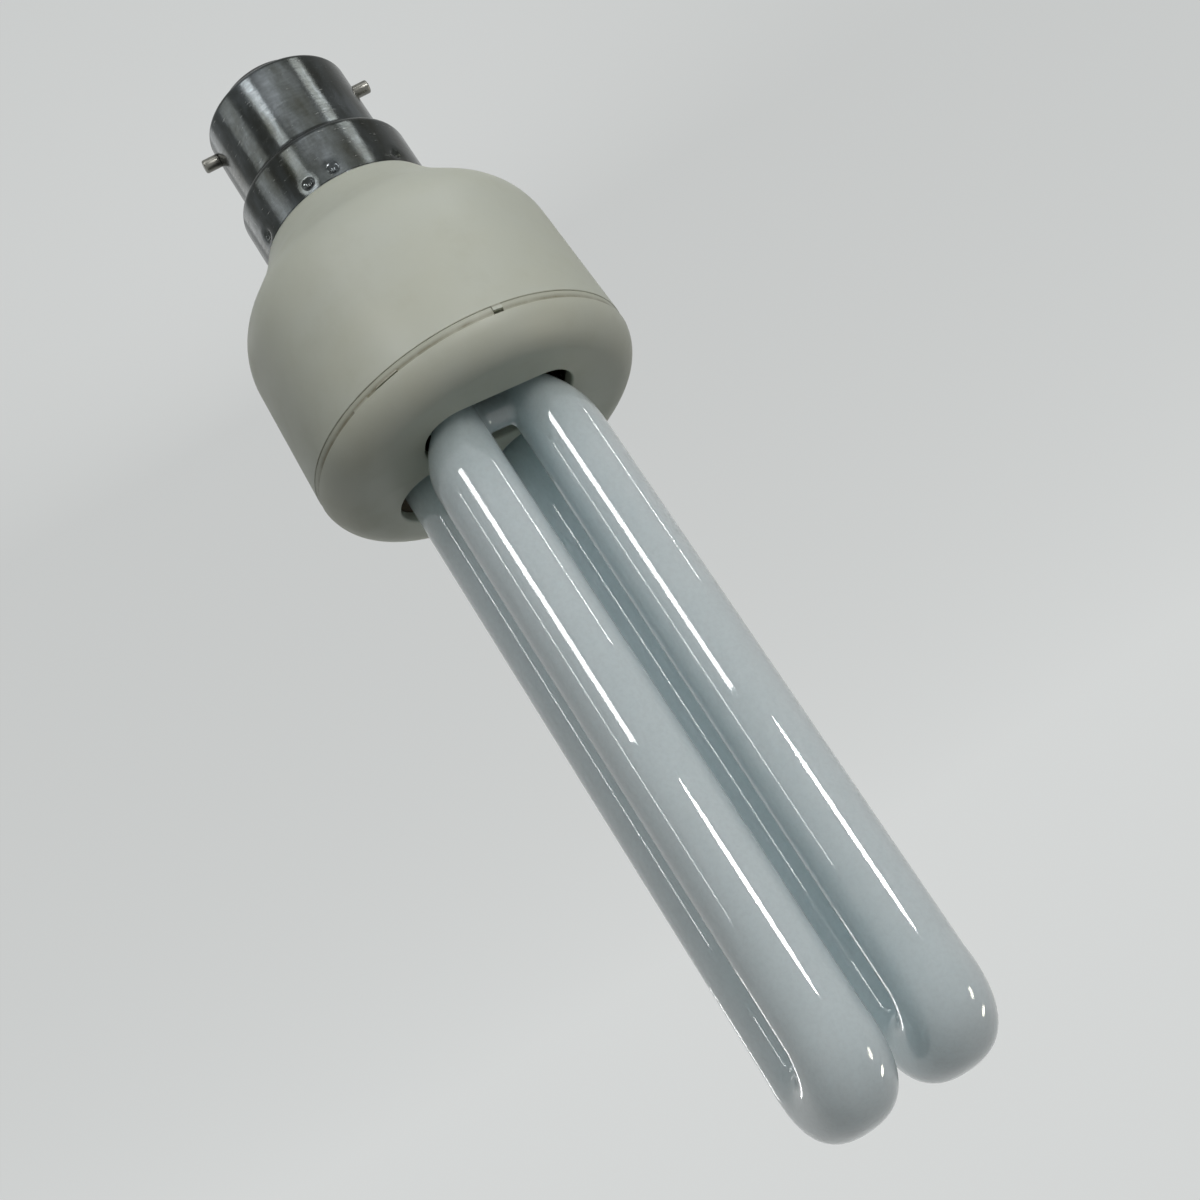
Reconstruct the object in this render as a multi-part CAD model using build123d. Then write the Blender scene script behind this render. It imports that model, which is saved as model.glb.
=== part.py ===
from build123d import *
import os
from math import atan2, hypot, sqrt, tan

# Compact fluorescent lamp: a bayonet cap, a moulded ballast housing and a bridged pair of glass U tubes.
# Millimetres. The lamp's axis is Z, its contact faces lie at z = 0 and its tubes point to +Z.
# The bayonet pins lie along X, and the bridged legs of the tubes stand on the -Y side.

# Clearances that every seat shares
PRESS_GAP = 0.05
LOOSE_GAP = 0.12
CRIMP_GAP = 0.2

# Cap shell, drawn from plated brass: barrel, ogee shoulder and skirt
BARREL_R = 11.0
BARREL_LENGTH = 13.2
SHOULDER_RISE = 2.6
SKIRT_R = 13.0
SKIRT_LENGTH = 8.0
CAP_WALL = 0.4
RIM_ROUND = 0.9
RIM_LIP = 1.5

# Crimp dimples that a blunt punch drives through the skirt into the housing's neck
DIMPLE_R = 0.8
DIMPLE_TIP_R = 0.45
DIMPLE_DEPTH = 0.5
DIMPLE_INSET = 1.6
PUNCH_REACH = 0.2
DIMPLE_ANGLES = (46, 91, 108.5, 154, 226, 271, 288.5, 334)

# Bayonet pins, staked through the barrel
PIN_R = 1.0
PIN_SPAN = 26.8
PIN_SET = 3.25
PIN_SHANK_R = 0.7
PIN_HEAD_R = 1.4
PIN_HEAD_THICK = 0.6
PIN_TIP_ROUND = 0.3

# Black glass insulator and its two contact plates
CONTACT_STAND = 3.4
CONTACT_PROUD = 0.8
CONTACT_R = 2.7
CONTACT_TIP_R = 1.4
CONTACT_PITCH = 8.8
CONTACT_EDGE = 0.3
CONTACT_SEAT = 0.3
NOSE_GAP = 0.3
NOSE_TAPER = 1.5
FLANGE_THICK = 1.1
EYELET_R = 0.95
EYELET_STAND = 0.3

# Upper housing: neck, flared shoulder and slightly conical body
HOUSING_LENGTH = 34.5
HOUSING_WALL = 1.7
NECK_WALL = 1.9
NECK_ROOT_R = 13.2
FLARE_R = 15.3
FLARE_RISE = 3.6
SHOULDER_CORNER_RISE = 11.8
BODY_R = 23.92
BODY_TAPER = 0.77
FLARE_BEND_SHARE = 0.9
SHOULDER_BEND_SHARE = 0.36
RIB_COUNT = 6
RIB_THICK = 1.2
RIB_DEPTH = 1.5
RIB_LENGTH = 5.0
RIB_FIRST_ANGLE = 0

# Lower cover: rounded cap, sloped seam band, spigot and snap lugs
SEAM_BAND = 1.2
BAND_RECESS = 0.45
COVER_RISE = 4.5
COVER_ROUND = 5.2
COVER_WALL = 1.8
SPIGOT_DEPTH = 5.4
SPIGOT_WALL = 1.7
LUG_COUNT = 4
LUG_SPAN = 16
LUG_PROUD = 0.5
LUG_HEIGHT = 1.2
LUG_DROP = 2.4
TAB_ANGLE = 256.5
TAB_SPAN = 3.2
TAB_GAP = 0.5
NOTCH_SPAN = 4.0
NOTCH_DEPTH = 0.45
KEY_ANGLE = 308.7
KEY_SPAN = 6.6
KEY_HEIGHT = 0.55
BAR_ANGLE = 297
BAR_SPAN = 8.6
BAR_HEIGHT = 0.32
BAR_GAP = 0.16

# Glass discharge tube: two U tubes joined by a bridge near the cover
TUBE_R = 5.15
TUBE_REACH = 101.1
LEG_PITCH = 12.9
PAIR_PITCH = 14.5
BUNDLE_TURN = -9
CLOSED_END_RISE = 7.0
CLOSED_END_DEPTH = 10.2
CLOSED_END_DRAFT = 14.0
CLOSED_END_SHARES = (0, 0.35, 0.65, 0.85, 1)
CLOSED_TIP_SHARES = ((0.5, 0.86), (0.9, 0.42))
BRIDGE_DEPTH = 3.8
BRIDGE_HEIGHT = 5.5
BRIDGE_SET = 1.4
LEG_SET = 5.0
PINCH_WIDTH = 8.6
PINCH_THICK = 3.0
PINCH_TAPER = 1.8
PINCH_LENGTH = 2.2

# Openings in the cover for the tube, and the cement that holds it
SLOT_END_TUCK = 1.4
SLOT_SIDE_GAP = 0.45
SLOT_CORNER = 5.0
SLOT_SHIFT = -0.45
SLOT_OUTSET = 0.45
HOLE_CLEARANCE = 1.45
CEMENT_WALL = 1.85
CEMENT_HEIGHT = 3.2

# Ballast board and the wire ends on it
BOARD_THICK = 1.6
WRAP_PIN_SIDE = 1.0
WRAP_PIN_HEIGHT = 4.0
WRAP_PIN_SPOTS = ((12.8, 10.4), (14.6, 3.8), (-14.6, 3.8), (-12.8, 10.4))
FILAMENT_R = 0.25
FILAMENT_PITCH = 4.0
FILAMENT_DROP = 0.9
LEAD_R = 0.45
LEAD_OFFSET = 8.0
LEAD_START_RISE = 4.0
LEAD_BEND_RISE = 9.0
PART_LEAD_R = 0.3

# Choke: two ferrite E halves, a bobbin and its winding
CHOKE_SPOT = (7.6, 0)
CORE_WIDTH = 16.0
CORE_HALF_HEIGHT = 7.1
CORE_DEPTH = 4.8
CORE_YOKE = 2.0
CORE_CENTRE = 4.0
CORE_SIDE = 2.1
BOBBIN_WALL = 0.5
BOBBIN_FLANGE = 0.8
BOBBIN_DEPTH = 12.0
RAIL_DEPTH = 2.2
WINDING_INSET = 0.3

# Toroid that drives the transistors, with three small windings
TOROID_SPOT = (-7.5, -9.5)
TOROID_R = 4.5
TOROID_BORE_R = 2.5
TOROID_HEIGHT = 4.0
TOROID_WIRE = 0.6
TOROID_SPAN = 50
TOROID_WINDINGS = 3

# Transistors
TRANSISTOR_SPOTS = ((-14.6, 4.2), (-14.6, -4.2))
TRANSISTOR_WIDTH = 7.8
TRANSISTOR_THICK = 2.7
TRANSISTOR_HEIGHT = 10.8
TRANSISTOR_STAND = 3.0
TRANSISTOR_PITCH = 2.3
TRANSISTOR_LEAD = 0.7
TRANSISTOR_EYE_R = 1.6
TRANSISTOR_EYE_DROP = 2.9

# Electrolytic capacitor, which stands in the neck
CAN_SPOT = (-2.0, 0)
CAN_R = 5.0
CAN_LENGTH = 20.0
CAN_GAP = 0.9
CAN_CRIMP = 0.5
CAN_CRIMP_SET = 2.4
CAN_LEAD_PITCH = 5.0

# Film capacitors, filter inductor, axial parts and fuse resistor
RESONANT_SPOT = (-7.1, 10.9)
RESONANT_SIZE = (11.0, 5.0, 10.0)
COUPLING_SPOT = (7.5, 10.5)
COUPLING_SIZE = (10.0, 4.4, 8.0)
FILM_ROUND = 1.2
FILM_STAND = 0.8
FILM_LEAD_INSET = 1.8
INDUCTOR_SPOT = (2.2, -12.2)
INDUCTOR_R = 3.6
INDUCTOR_HEIGHT = 8.5
INDUCTOR_FLANGE = 1.2
INDUCTOR_WAIST = 0.8
DIODE_SPOTS = (-11.6, -8.9, -6.2, -3.8)
DIODE_ROW = 1.5
DIODE_SIZE = (1.1, 5.0, 9.6)
RESISTOR_SPOTS = ((11.6, -7.9), (10.5, -10.7))
RESISTOR_SIZE = (1.2, 6.0, 8.4)
DIAC_SPOT = (14.1, 9.0)
DIAC_SIZE = (0.9, 3.8, 6.4)
FUSE_R = 1.6
FUSE_LENGTH = 9.0
FUSE_SET = 9.0

# Levels and radii that follow from the sizes above
RIM_Z = CONTACT_STAND
PIN_Z = RIM_Z + PIN_SET
BARREL_TOP = RIM_Z + BARREL_LENGTH
SKIRT_START = BARREL_TOP + SHOULDER_RISE
SKIRT_TOP = SKIRT_START + SKIRT_LENGTH
SEAM_Z = SKIRT_TOP + HOUSING_LENGTH
BAND_TOP = SEAM_Z + SEAM_BAND
COVER_FACE = BAND_TOP + COVER_RISE
COVER_INSIDE = COVER_FACE - COVER_WALL
TUBE_TOP = COVER_FACE + TUBE_REACH
BARREL_BORE_R = BARREL_R - CAP_WALL
LIP_R = BARREL_R - RIM_LIP
NOSE_BASE_R = LIP_R - NOSE_GAP
NOSE_FACE_R = NOSE_BASE_R - NOSE_TAPER
NECK_R = SKIRT_R - CAP_WALL - CRIMP_GAP
NECK_BORE_R = NECK_R - NECK_WALL
NECK_END = SKIRT_START + 2 * CAP_WALL
FLANGE_Z = RIM_Z + CAP_WALL
INSULATOR_BACK = FLANGE_Z + FLANGE_THICK
BODY_BORE_R = BODY_R - HOUSING_WALL
BAND_R = BODY_R - BAND_RECESS
SPIGOT_R = BODY_BORE_R - LOOSE_GAP
BOARD_TOP = SEAM_Z - SPIGOT_DEPTH
BOARD_FACE = BOARD_TOP - BOARD_THICK
BOARD_R = BODY_BORE_R - 4 * LOOSE_GAP
CORE_WINDOW = 2 * (CORE_HALF_HEIGHT - CORE_YOKE)
CORE_LEG_GAP = CORE_WIDTH - 2 * CORE_SIDE
CHOKE_TOP = BOARD_FACE - LOOSE_GAP
CHOKE_LOW = CHOKE_TOP - 2 * CORE_HALF_HEIGHT
CAN_TOP = CHOKE_LOW - CAN_GAP
LEG_Y = LEG_PITCH / 2
LEG_X = PAIR_PITCH / 2
SLOT_LENGTH = PAIR_PITCH + 2 * (TUBE_R - SLOT_END_TUCK)
SLOT_WIDTH = 2 * (TUBE_R + SLOT_SIDE_GAP)
PINCH_TOP = COVER_FACE - LEG_SET
PINCH_END = PINCH_TOP - PINCH_TAPER - PINCH_LENGTH


# Shared operations

def turned(*edges):
    """Revolve a closed profile of radius and height about the lamp's axis."""
    return revolve(Plane.XZ * make_face(edges), Axis.Z)


def turned_points(*points):
    return turned(Polyline(*points, close=True))


def ring_segment(inner, outer, low, high, middle, span):
    """A block of a ring, by its radii, heights, middle angle and span in degrees."""
    outline = Polyline((inner, low), (outer, low), (outer, high), (inner, high), close=True)
    block = revolve(Plane.XZ * make_face(outline), Axis.Z, span)
    return Rot(0, 0, middle - span / 2) * block


def disc(radius, low, high, x=0, y=0):
    return Pos(x, y, low) * Cylinder(radius, high - low, align=(Align.CENTER, Align.CENTER, Align.MIN))


def block(width, depth, low, high, x=0, y=0):
    return Pos(x, y, low) * Box(width, depth, high - low, align=(Align.CENTER, Align.CENTER, Align.MIN))


def ogee(start, end):
    """Two equal arcs that leave and arrive parallel to the axis."""
    middle = ((start[0] + end[0]) / 2, (start[1] + end[1]) / 2)
    first = TangentArc(start, middle, tangent=(0, 1))
    second = TangentArc(end, middle, tangent=(0, -1))
    return first, second


def bend_radius(before, corner, after, share):
    """Radius of a corner's arc that takes a share of its shorter run."""
    first = (corner[0] - before[0], corner[1] - before[1])
    second = (after[0] - corner[0], after[1] - corner[1])
    turn = abs(atan2(first[0] * second[1] - first[1] * second[0], first[0] * second[0] + first[1] * second[1]))
    return share * min(hypot(*first), hypot(*second)) / tan(turn / 2)


def inset_line(first, second, distance):
    """The line through two points, moved towards the axis by a distance."""
    run, rise = second[0] - first[0], second[1] - first[1]
    length = hypot(run, rise)
    shift = (-rise / length * distance, run / length * distance)
    return (first[0] + shift[0], first[1] + shift[1]), rise / run


def wire_along(radius, *points):
    """A round wire along straight runs with a small arc at each corner."""
    path = FilletPolyline(*points, radius=3 * radius)
    return sweep(Plane(origin=path @ 0, z_dir=path % 0) * Circle(radius), path)


# Bayonet cap

def dimple_punches(offset):
    """The blunt punch at each crimp, grown all round by an offset, from outside the skirt inwards."""
    taper = (DIMPLE_R - DIMPLE_TIP_R) / DIMPLE_DEPTH
    depth = DIMPLE_DEPTH + offset
    run = depth + PUNCH_REACH
    tip_r = DIMPLE_TIP_R + offset
    punch = Cone(tip_r, tip_r + run * taper, run, align=(Align.CENTER, Align.CENTER, Align.MIN))
    level = SKIRT_TOP - DIMPLE_INSET
    return [Rot(0, 0, angle) * Pos(SKIRT_R - depth, 0, level) * Rot(0, 90, 0) * punch for angle in DIMPLE_ANGLES]


def cap_shell():
    inner_round = RIM_ROUND - CAP_WALL
    outer = [
        Line((LIP_R, RIM_Z), (BARREL_R - RIM_ROUND, RIM_Z)),
        TangentArc((BARREL_R - RIM_ROUND, RIM_Z), (BARREL_R, RIM_Z + RIM_ROUND), tangent=(1, 0)),
        Line((BARREL_R, RIM_Z + RIM_ROUND), (BARREL_R, BARREL_TOP)),
        *ogee((BARREL_R, BARREL_TOP), (SKIRT_R, SKIRT_START)),
        Line((SKIRT_R, SKIRT_START), (SKIRT_R, SKIRT_TOP)),
    ]
    skirt_bore_r = SKIRT_R - CAP_WALL
    inner = [
        Polyline((SKIRT_R, SKIRT_TOP), (skirt_bore_r, SKIRT_TOP), (skirt_bore_r, SKIRT_START + CAP_WALL)),
        *ogee((BARREL_BORE_R, BARREL_TOP + CAP_WALL), (skirt_bore_r, SKIRT_START + CAP_WALL)),
        Line((BARREL_BORE_R, BARREL_TOP + CAP_WALL), (BARREL_BORE_R, FLANGE_Z + inner_round)),
        TangentArc((BARREL_BORE_R - inner_round, FLANGE_Z), (BARREL_BORE_R, FLANGE_Z + inner_round), tangent=(1, 0)),
        Polyline((BARREL_BORE_R - inner_round, FLANGE_Z), (LIP_R, FLANGE_Z), (LIP_R, RIM_Z)),
    ]
    shell = turned(*outer, *inner)
    inside = disc(skirt_bore_r, SKIRT_START + CAP_WALL, SKIRT_TOP)
    for bump, recess in zip(dimple_punches(CAP_WALL), dimple_punches(0)):
        shell = shell + (bump & inside) - recess
    pin_hole = Pos(0, 0, PIN_Z) * Rot(0, 90, 0) * Cylinder(PIN_SHANK_R + PRESS_GAP, 2 * SKIRT_R)
    return shell - pin_hole


def bayonet_pin(side):
    """A turned pin: the free end, a shank through the barrel and a head staked against its bore."""
    seat = sqrt(BARREL_BORE_R**2 - PIN_HEAD_R**2)
    tip = PIN_SPAN / 2
    pin = disc(PIN_HEAD_R, seat - PIN_HEAD_THICK, seat) + disc(PIN_SHANK_R, seat, BARREL_R)
    free_end = disc(PIN_R, BARREL_R, tip)
    pin = pin + fillet(free_end.edges().group_by(Axis.Z)[-1], PIN_TIP_ROUND)
    return Pos(0, 0, PIN_Z) * Rot(0, 90 * side, 0) * pin


def cap_insulator():
    flange_r = BARREL_BORE_R - (RIM_ROUND - CAP_WALL)
    body = turned_points(
        (0, CONTACT_PROUD), (NOSE_FACE_R, CONTACT_PROUD), (NOSE_BASE_R, FLANGE_Z),
        (flange_r, FLANGE_Z), (flange_r, INSULATOR_BACK), (0, INSULATOR_BACK),
    )
    for side in (-1, 1):
        y = side * CONTACT_PITCH / 2
        body -= disc(CONTACT_R + PRESS_GAP, 0, CONTACT_PROUD + CONTACT_SEAT, 0, y)
        body -= disc(EYELET_R + PRESS_GAP, 0, INSULATOR_BACK, 0, y)
    return body


def contact_plate(side):
    """A plate with a domed solder face and a hollow eyelet that the supply wire enters."""
    edge = CONTACT_PROUD - CONTACT_EDGE
    floor = CONTACT_PROUD + CONTACT_SEAT
    end = INSULATOR_BACK + EYELET_STAND
    plate = turned_points(
        (0, 0), (CONTACT_TIP_R, 0), (CONTACT_R, edge), (CONTACT_R, floor),
        (EYELET_R, floor), (EYELET_R, end), (0, end),
    )
    plate -= disc(LEAD_R + PRESS_GAP, floor, end)
    return Pos(0, side * CONTACT_PITCH / 2, 0) * plate


# Moulded housing

def housing_corners():
    """Corners of the housing's outline from the neck's root to the seam."""
    return (
        (NECK_ROOT_R, SKIRT_TOP),
        (FLARE_R, SKIRT_TOP + FLARE_RISE),
        (BODY_R - BODY_TAPER, SKIRT_TOP + SHOULDER_CORNER_RISE),
        (BODY_R, SEAM_Z),
    )


def upper_housing():
    root, flare, shoulder, seam = housing_corners()
    flare_radius = bend_radius(root, flare, shoulder, FLARE_BEND_SHARE)
    shoulder_radius = bend_radius(flare, shoulder, seam, SHOULDER_BEND_SHARE)
    outline = FilletPolyline(root, flare, shoulder, seam, radius=[flare_radius, shoulder_radius])
    closing = Polyline(seam, (0, SEAM_Z), (0, NECK_END), (NECK_R, NECK_END), (NECK_R, SKIRT_TOP), root)
    body = turned(outline, closing)

    through, slope = inset_line(flare, shoulder, HOUSING_WALL)
    throat = (NECK_BORE_R, through[1] + slope * (NECK_BORE_R - through[0]))
    corner = (BODY_BORE_R, through[1] + slope * (BODY_BORE_R - through[0]))
    mouth = (BODY_BORE_R, SEAM_Z)
    cavity_bend = bend_radius(throat, corner, mouth, SHOULDER_BEND_SHARE)
    cavity_line = FilletPolyline(throat, corner, mouth, radius=[cavity_bend])
    cavity_ends = Polyline(mouth, (0, SEAM_Z), (0, NECK_END), (NECK_BORE_R, NECK_END), throat)
    body -= turned(cavity_line, cavity_ends)

    rib = block(RIB_DEPTH + PRESS_GAP, RIB_THICK, BOARD_FACE - RIB_LENGTH, BOARD_FACE)
    rib_r = BODY_BORE_R - (RIB_DEPTH - PRESS_GAP) / 2
    for index in range(RIB_COUNT):
        body += Rot(0, 0, RIB_FIRST_ANGLE + index * 360 / RIB_COUNT) * Pos(rib_r, 0, 0) * rib

    pocket_r = SPIGOT_R + LUG_PROUD + LOOSE_GAP
    for angle in lug_angles():
        body -= ring_segment(
            SPIGOT_R, pocket_r, lug_low() - LOOSE_GAP, lug_low() + LUG_HEIGHT + LOOSE_GAP, angle, LUG_SPAN + 1
        )
    for pocket in dimple_punches(CAP_WALL + CRIMP_GAP):
        body -= pocket
    return body + ring_segment(BAND_R + PRESS_GAP, BODY_R, SEAM_Z, BAND_TOP - TAB_GAP, TAB_ANGLE, TAB_SPAN)


def lug_low():
    return SEAM_Z - LUG_DROP - LUG_HEIGHT


def lug_angles():
    return [45 + index * 360 / LUG_COUNT for index in range(LUG_COUNT)]


def bundle(shape):
    """Turn a shape from the tube bundle's own directions to the lamp's."""
    return Rot(0, 0, BUNDLE_TURN) * shape


def lower_cover():
    flat_r = BODY_R - sqrt(COVER_ROUND**2 - (COVER_RISE - COVER_ROUND) ** 2)
    spigot_bore_r = SPIGOT_R - SPIGOT_WALL
    edge = RadiusArc((BODY_R, BAND_TOP), (flat_r, COVER_FACE), -COVER_ROUND)
    rest = Polyline(
        (flat_r, COVER_FACE), (0, COVER_FACE), (0, COVER_INSIDE), (spigot_bore_r, COVER_INSIDE),
        (spigot_bore_r, BOARD_TOP), (SPIGOT_R, BOARD_TOP), (SPIGOT_R, SEAM_Z), (BODY_R - PRESS_GAP, SEAM_Z),
        (BAND_R, BAND_TOP), (BODY_R, BAND_TOP),
    )
    cover = turned(edge, rest)
    for angle in lug_angles():
        lug = ring_segment(SPIGOT_R - PRESS_GAP, SPIGOT_R + LUG_PROUD, 0, LUG_HEIGHT, angle, LUG_SPAN)
        cover += Pos(0, 0, lug_low()) * lug
    cover -= ring_segment(BAND_R - NOTCH_DEPTH, BODY_R, SEAM_Z, BAND_TOP, TAB_ANGLE, NOTCH_SPAN)
    cover += ring_segment(BAND_R - PRESS_GAP, BODY_R, BAND_TOP - KEY_HEIGHT, BAND_TOP, KEY_ANGLE, KEY_SPAN)
    bar_top = BAND_TOP - BAR_GAP
    cover += ring_segment(BAND_R - PRESS_GAP, BODY_R - PRESS_GAP, bar_top - BAR_HEIGHT, bar_top, BAR_ANGLE, BAR_SPAN)

    slot_face = Pos(SLOT_SHIFT, -LEG_Y - SLOT_OUTSET) * RectangleRounded(SLOT_LENGTH, SLOT_WIDTH, SLOT_CORNER)
    cover -= bundle(Pos(0, 0, COVER_INSIDE) * extrude(slot_face, COVER_WALL))
    for side in (-1, 1):
        cover -= bundle(disc(TUBE_R + HOLE_CLEARANCE, COVER_INSIDE, COVER_FACE, side * LEG_X, LEG_Y))
    return cover


# Glass discharge tube

def closed_leg_end(side):
    """The bridged leg's end: its inner wall runs straight, its outer wall curves in, its depth stays almost full."""
    outer_arc = LEG_X + TUBE_R
    start = COVER_FACE + CLOSED_END_RISE
    inner_wall = LEG_X - TUBE_R

    def section(half_width, half_depth, middle, drop):
        plane = Plane((side * middle, -LEG_Y, start - drop), x_dir=(0, 1, 0), z_dir=(0, 0, 1))
        return plane * Ellipse(half_depth, half_width)

    sections = []
    for share in CLOSED_END_SHARES:
        drop = share * CLOSED_END_DEPTH
        half_width = TUBE_R - (outer_arc - sqrt(outer_arc**2 - drop**2)) / 2
        half_depth = TUBE_R * sqrt(1 - (drop / CLOSED_END_DRAFT) ** 4)
        sections.append(section(half_width, half_depth, inner_wall + half_width, drop))
    for fall, size in CLOSED_TIP_SHARES:
        tip = section(size * half_width, size * half_depth, inner_wall + half_width, drop + fall * half_width)
        sections.append(tip)
    return loft(sections)


def discharge_tube():
    bend_z = TUBE_TOP - TUBE_R - LEG_Y
    bridged_z = COVER_FACE + CLOSED_END_RISE
    bridge_face = Plane.YZ * Ellipse(BRIDGE_DEPTH / 2, BRIDGE_HEIGHT / 2)
    glass = Pos(0, -LEG_Y, COVER_FACE - BRIDGE_SET) * extrude(bridge_face, LEG_X, both=True)
    for side in (-1, 1):
        x = side * LEG_X
        path = Wire([
            Line((x, LEG_Y, PINCH_TOP), (x, LEG_Y, bend_z)),
            ThreePointArc((x, LEG_Y, bend_z), (x, 0, bend_z + LEG_Y), (x, -LEG_Y, bend_z)),
            Line((x, -LEG_Y, bend_z), (x, -LEG_Y, bridged_z)),
        ])
        u_tube = sweep(Plane(origin=(x, LEG_Y, PINCH_TOP)) * Circle(TUBE_R), path)
        taper = Pos(x, LEG_Y, PINCH_TOP - PINCH_TAPER) * Cone(
            PINCH_THICK, TUBE_R, PINCH_TAPER, align=(Align.CENTER, Align.CENTER, Align.MIN)
        )
        pinch = block(PINCH_WIDTH, PINCH_THICK, PINCH_END, PINCH_TOP, x, LEG_Y)
        glass += [u_tube, closed_leg_end(side), taper, pinch]
    return bundle(glass)


def tube_cement(side):
    """A collar of cement between an electrode leg and the cover's inner face."""
    low = COVER_INSIDE - CEMENT_HEIGHT
    collar = disc(TUBE_R + CEMENT_WALL, low, COVER_INSIDE) - disc(TUBE_R, low, COVER_INSIDE)
    return bundle(Pos(side * LEG_X, LEG_Y, 0) * collar)


# Ballast

def circuit_board():
    return disc(BOARD_R, BOARD_FACE, BOARD_TOP)


def wrap_pin(spot):
    return bundle(block(WRAP_PIN_SIDE, WRAP_PIN_SIDE, BOARD_TOP, BOARD_TOP + WRAP_PIN_HEIGHT, *spot))


def filament_lead(spot, offset):
    """A wire from the pinched end of an electrode leg to its wrap pin."""
    side = 1 if spot[0] > 0 else -1
    start = (side * LEG_X + offset, LEG_Y)
    level = PINCH_END - FILAMENT_DROP
    reach = hypot(spot[0] - start[0], spot[1] - start[1])
    stop = 1 - (WRAP_PIN_SIDE * sqrt(0.5) + FILAMENT_R) / reach
    end = [a + (b - a) * stop for a, b in zip(start, spot)]
    return bundle(wire_along(FILAMENT_R, (*start, PINCH_END), (*start, level), (*end, level)))


def supply_lead(side, end_z):
    """A wire from a contact's eyelet, out beside the capacitor and up to a stated height."""
    low = CONTACT_PROUD + CONTACT_SEAT + PRESS_GAP
    first_z = INSULATOR_BACK + LEAD_START_RISE
    second_z = first_z + LEAD_BEND_RISE
    contact_y = side * CONTACT_PITCH / 2
    lead_y = side * LEAD_OFFSET
    return wire_along(
        LEAD_R, (0, contact_y, low), (0, contact_y, first_z), (0, lead_y, second_z), (0, lead_y, end_z)
    )


def fuse_low():
    return INSULATOR_BACK + LEAD_START_RISE + LEAD_BEND_RISE + FUSE_SET


def fuse_resistor():
    """A wire-wound resistor in line with the live wire, with its own upper lead."""
    top = fuse_low() + FUSE_LENGTH
    body = disc(FUSE_R, fuse_low(), top, 0, LEAD_OFFSET)
    body = chamfer(body.edges(), FUSE_R / 4)
    return body + disc(LEAD_R, top, BOARD_FACE, 0, LEAD_OFFSET)


def on_board(shape, spot, turn=0):
    """Hang a shape, drawn below its own z = 0, from the board's component face."""
    return Pos(*spot, BOARD_FACE) * Rot(0, 0, turn) * shape


def choke_core_half(upper):
    """An E of ferrite: a yoke with one middle and two side legs."""
    window = (CORE_LEG_GAP - CORE_CENTRE) / 2
    window_x = (CORE_CENTRE + window) / 2
    half = block(CORE_WIDTH, CORE_DEPTH, 0, CORE_HALF_HEIGHT)
    for side in (-1, 1):
        half -= block(window, CORE_DEPTH, CORE_YOKE, CORE_HALF_HEIGHT, side * window_x)
    if upper:
        return Pos(*CHOKE_SPOT, CHOKE_TOP) * Rot(180, 0, 0) * half
    return Pos(*CHOKE_SPOT, CHOKE_LOW) * half


def choke_bobbin():
    low = CHOKE_LOW + CORE_YOKE + PRESS_GAP
    high = low + CORE_WINDOW - 2 * PRESS_GAP
    tube_width = CORE_CENTRE + 2 * (PRESS_GAP + BOBBIN_WALL)
    tube_depth = CORE_DEPTH + 2 * (PRESS_GAP + BOBBIN_WALL)
    flange_width = CORE_LEG_GAP - 2 * PRESS_GAP
    spool = block(tube_width, tube_depth, low, high)
    spool += block(flange_width, BOBBIN_DEPTH, low, low + BOBBIN_FLANGE)
    spool += block(flange_width, BOBBIN_DEPTH, high - BOBBIN_FLANGE, high)
    spool -= block(CORE_CENTRE + 2 * PRESS_GAP, CORE_DEPTH + 2 * PRESS_GAP, low, high)
    for side in (-1, 1):
        spool += block(flange_width, RAIL_DEPTH, high, BOARD_FACE, 0, side * (BOBBIN_DEPTH - RAIL_DEPTH) / 2)
    return Pos(*CHOKE_SPOT, 0) * spool


def choke_winding():
    low = CHOKE_LOW + CORE_YOKE + PRESS_GAP + BOBBIN_FLANGE
    high = low + CORE_WINDOW - 2 * PRESS_GAP - 2 * BOBBIN_FLANGE
    hole = (CORE_CENTRE + 2 * (PRESS_GAP + BOBBIN_WALL), CORE_DEPTH + 2 * (PRESS_GAP + BOBBIN_WALL))
    width = CORE_LEG_GAP - 2 * PRESS_GAP - 2 * WINDING_INSET
    depth = BOBBIN_DEPTH - 2 * WINDING_INSET
    coil = extrude(RectangleRounded(width, depth, (width - hole[0]) / 2), high - low)
    return Pos(*CHOKE_SPOT, low) * (coil - block(*hole, 0, high - low))


def toroid_middle():
    return -TOROID_WIRE - PRESS_GAP - TOROID_HEIGHT / 2


def toroid_core():
    middle = toroid_middle()
    low, high = middle - TOROID_HEIGHT / 2, middle + TOROID_HEIGHT / 2
    return on_board(disc(TOROID_R, low, high) - disc(TOROID_BORE_R, low, high), TOROID_SPOT)


def toroid_winding(index):
    """A few turns of wire, drawn as one closed band round the ring's section."""
    angle = index * 360 / TOROID_WINDINGS
    half = TOROID_HEIGHT / 2 + PRESS_GAP
    wall = PRESS_GAP + TOROID_WIRE
    middle = toroid_middle()
    outer = ring_segment(
        TOROID_BORE_R - wall, TOROID_R + wall, middle - half - TOROID_WIRE, middle + half + TOROID_WIRE,
        angle, TOROID_SPAN,
    )
    hollow = ring_segment(
        TOROID_BORE_R - PRESS_GAP, TOROID_R + PRESS_GAP, middle - half, middle + half, angle, TOROID_SPAN + 2
    )
    return on_board(outer - hollow, TOROID_SPOT)


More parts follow.
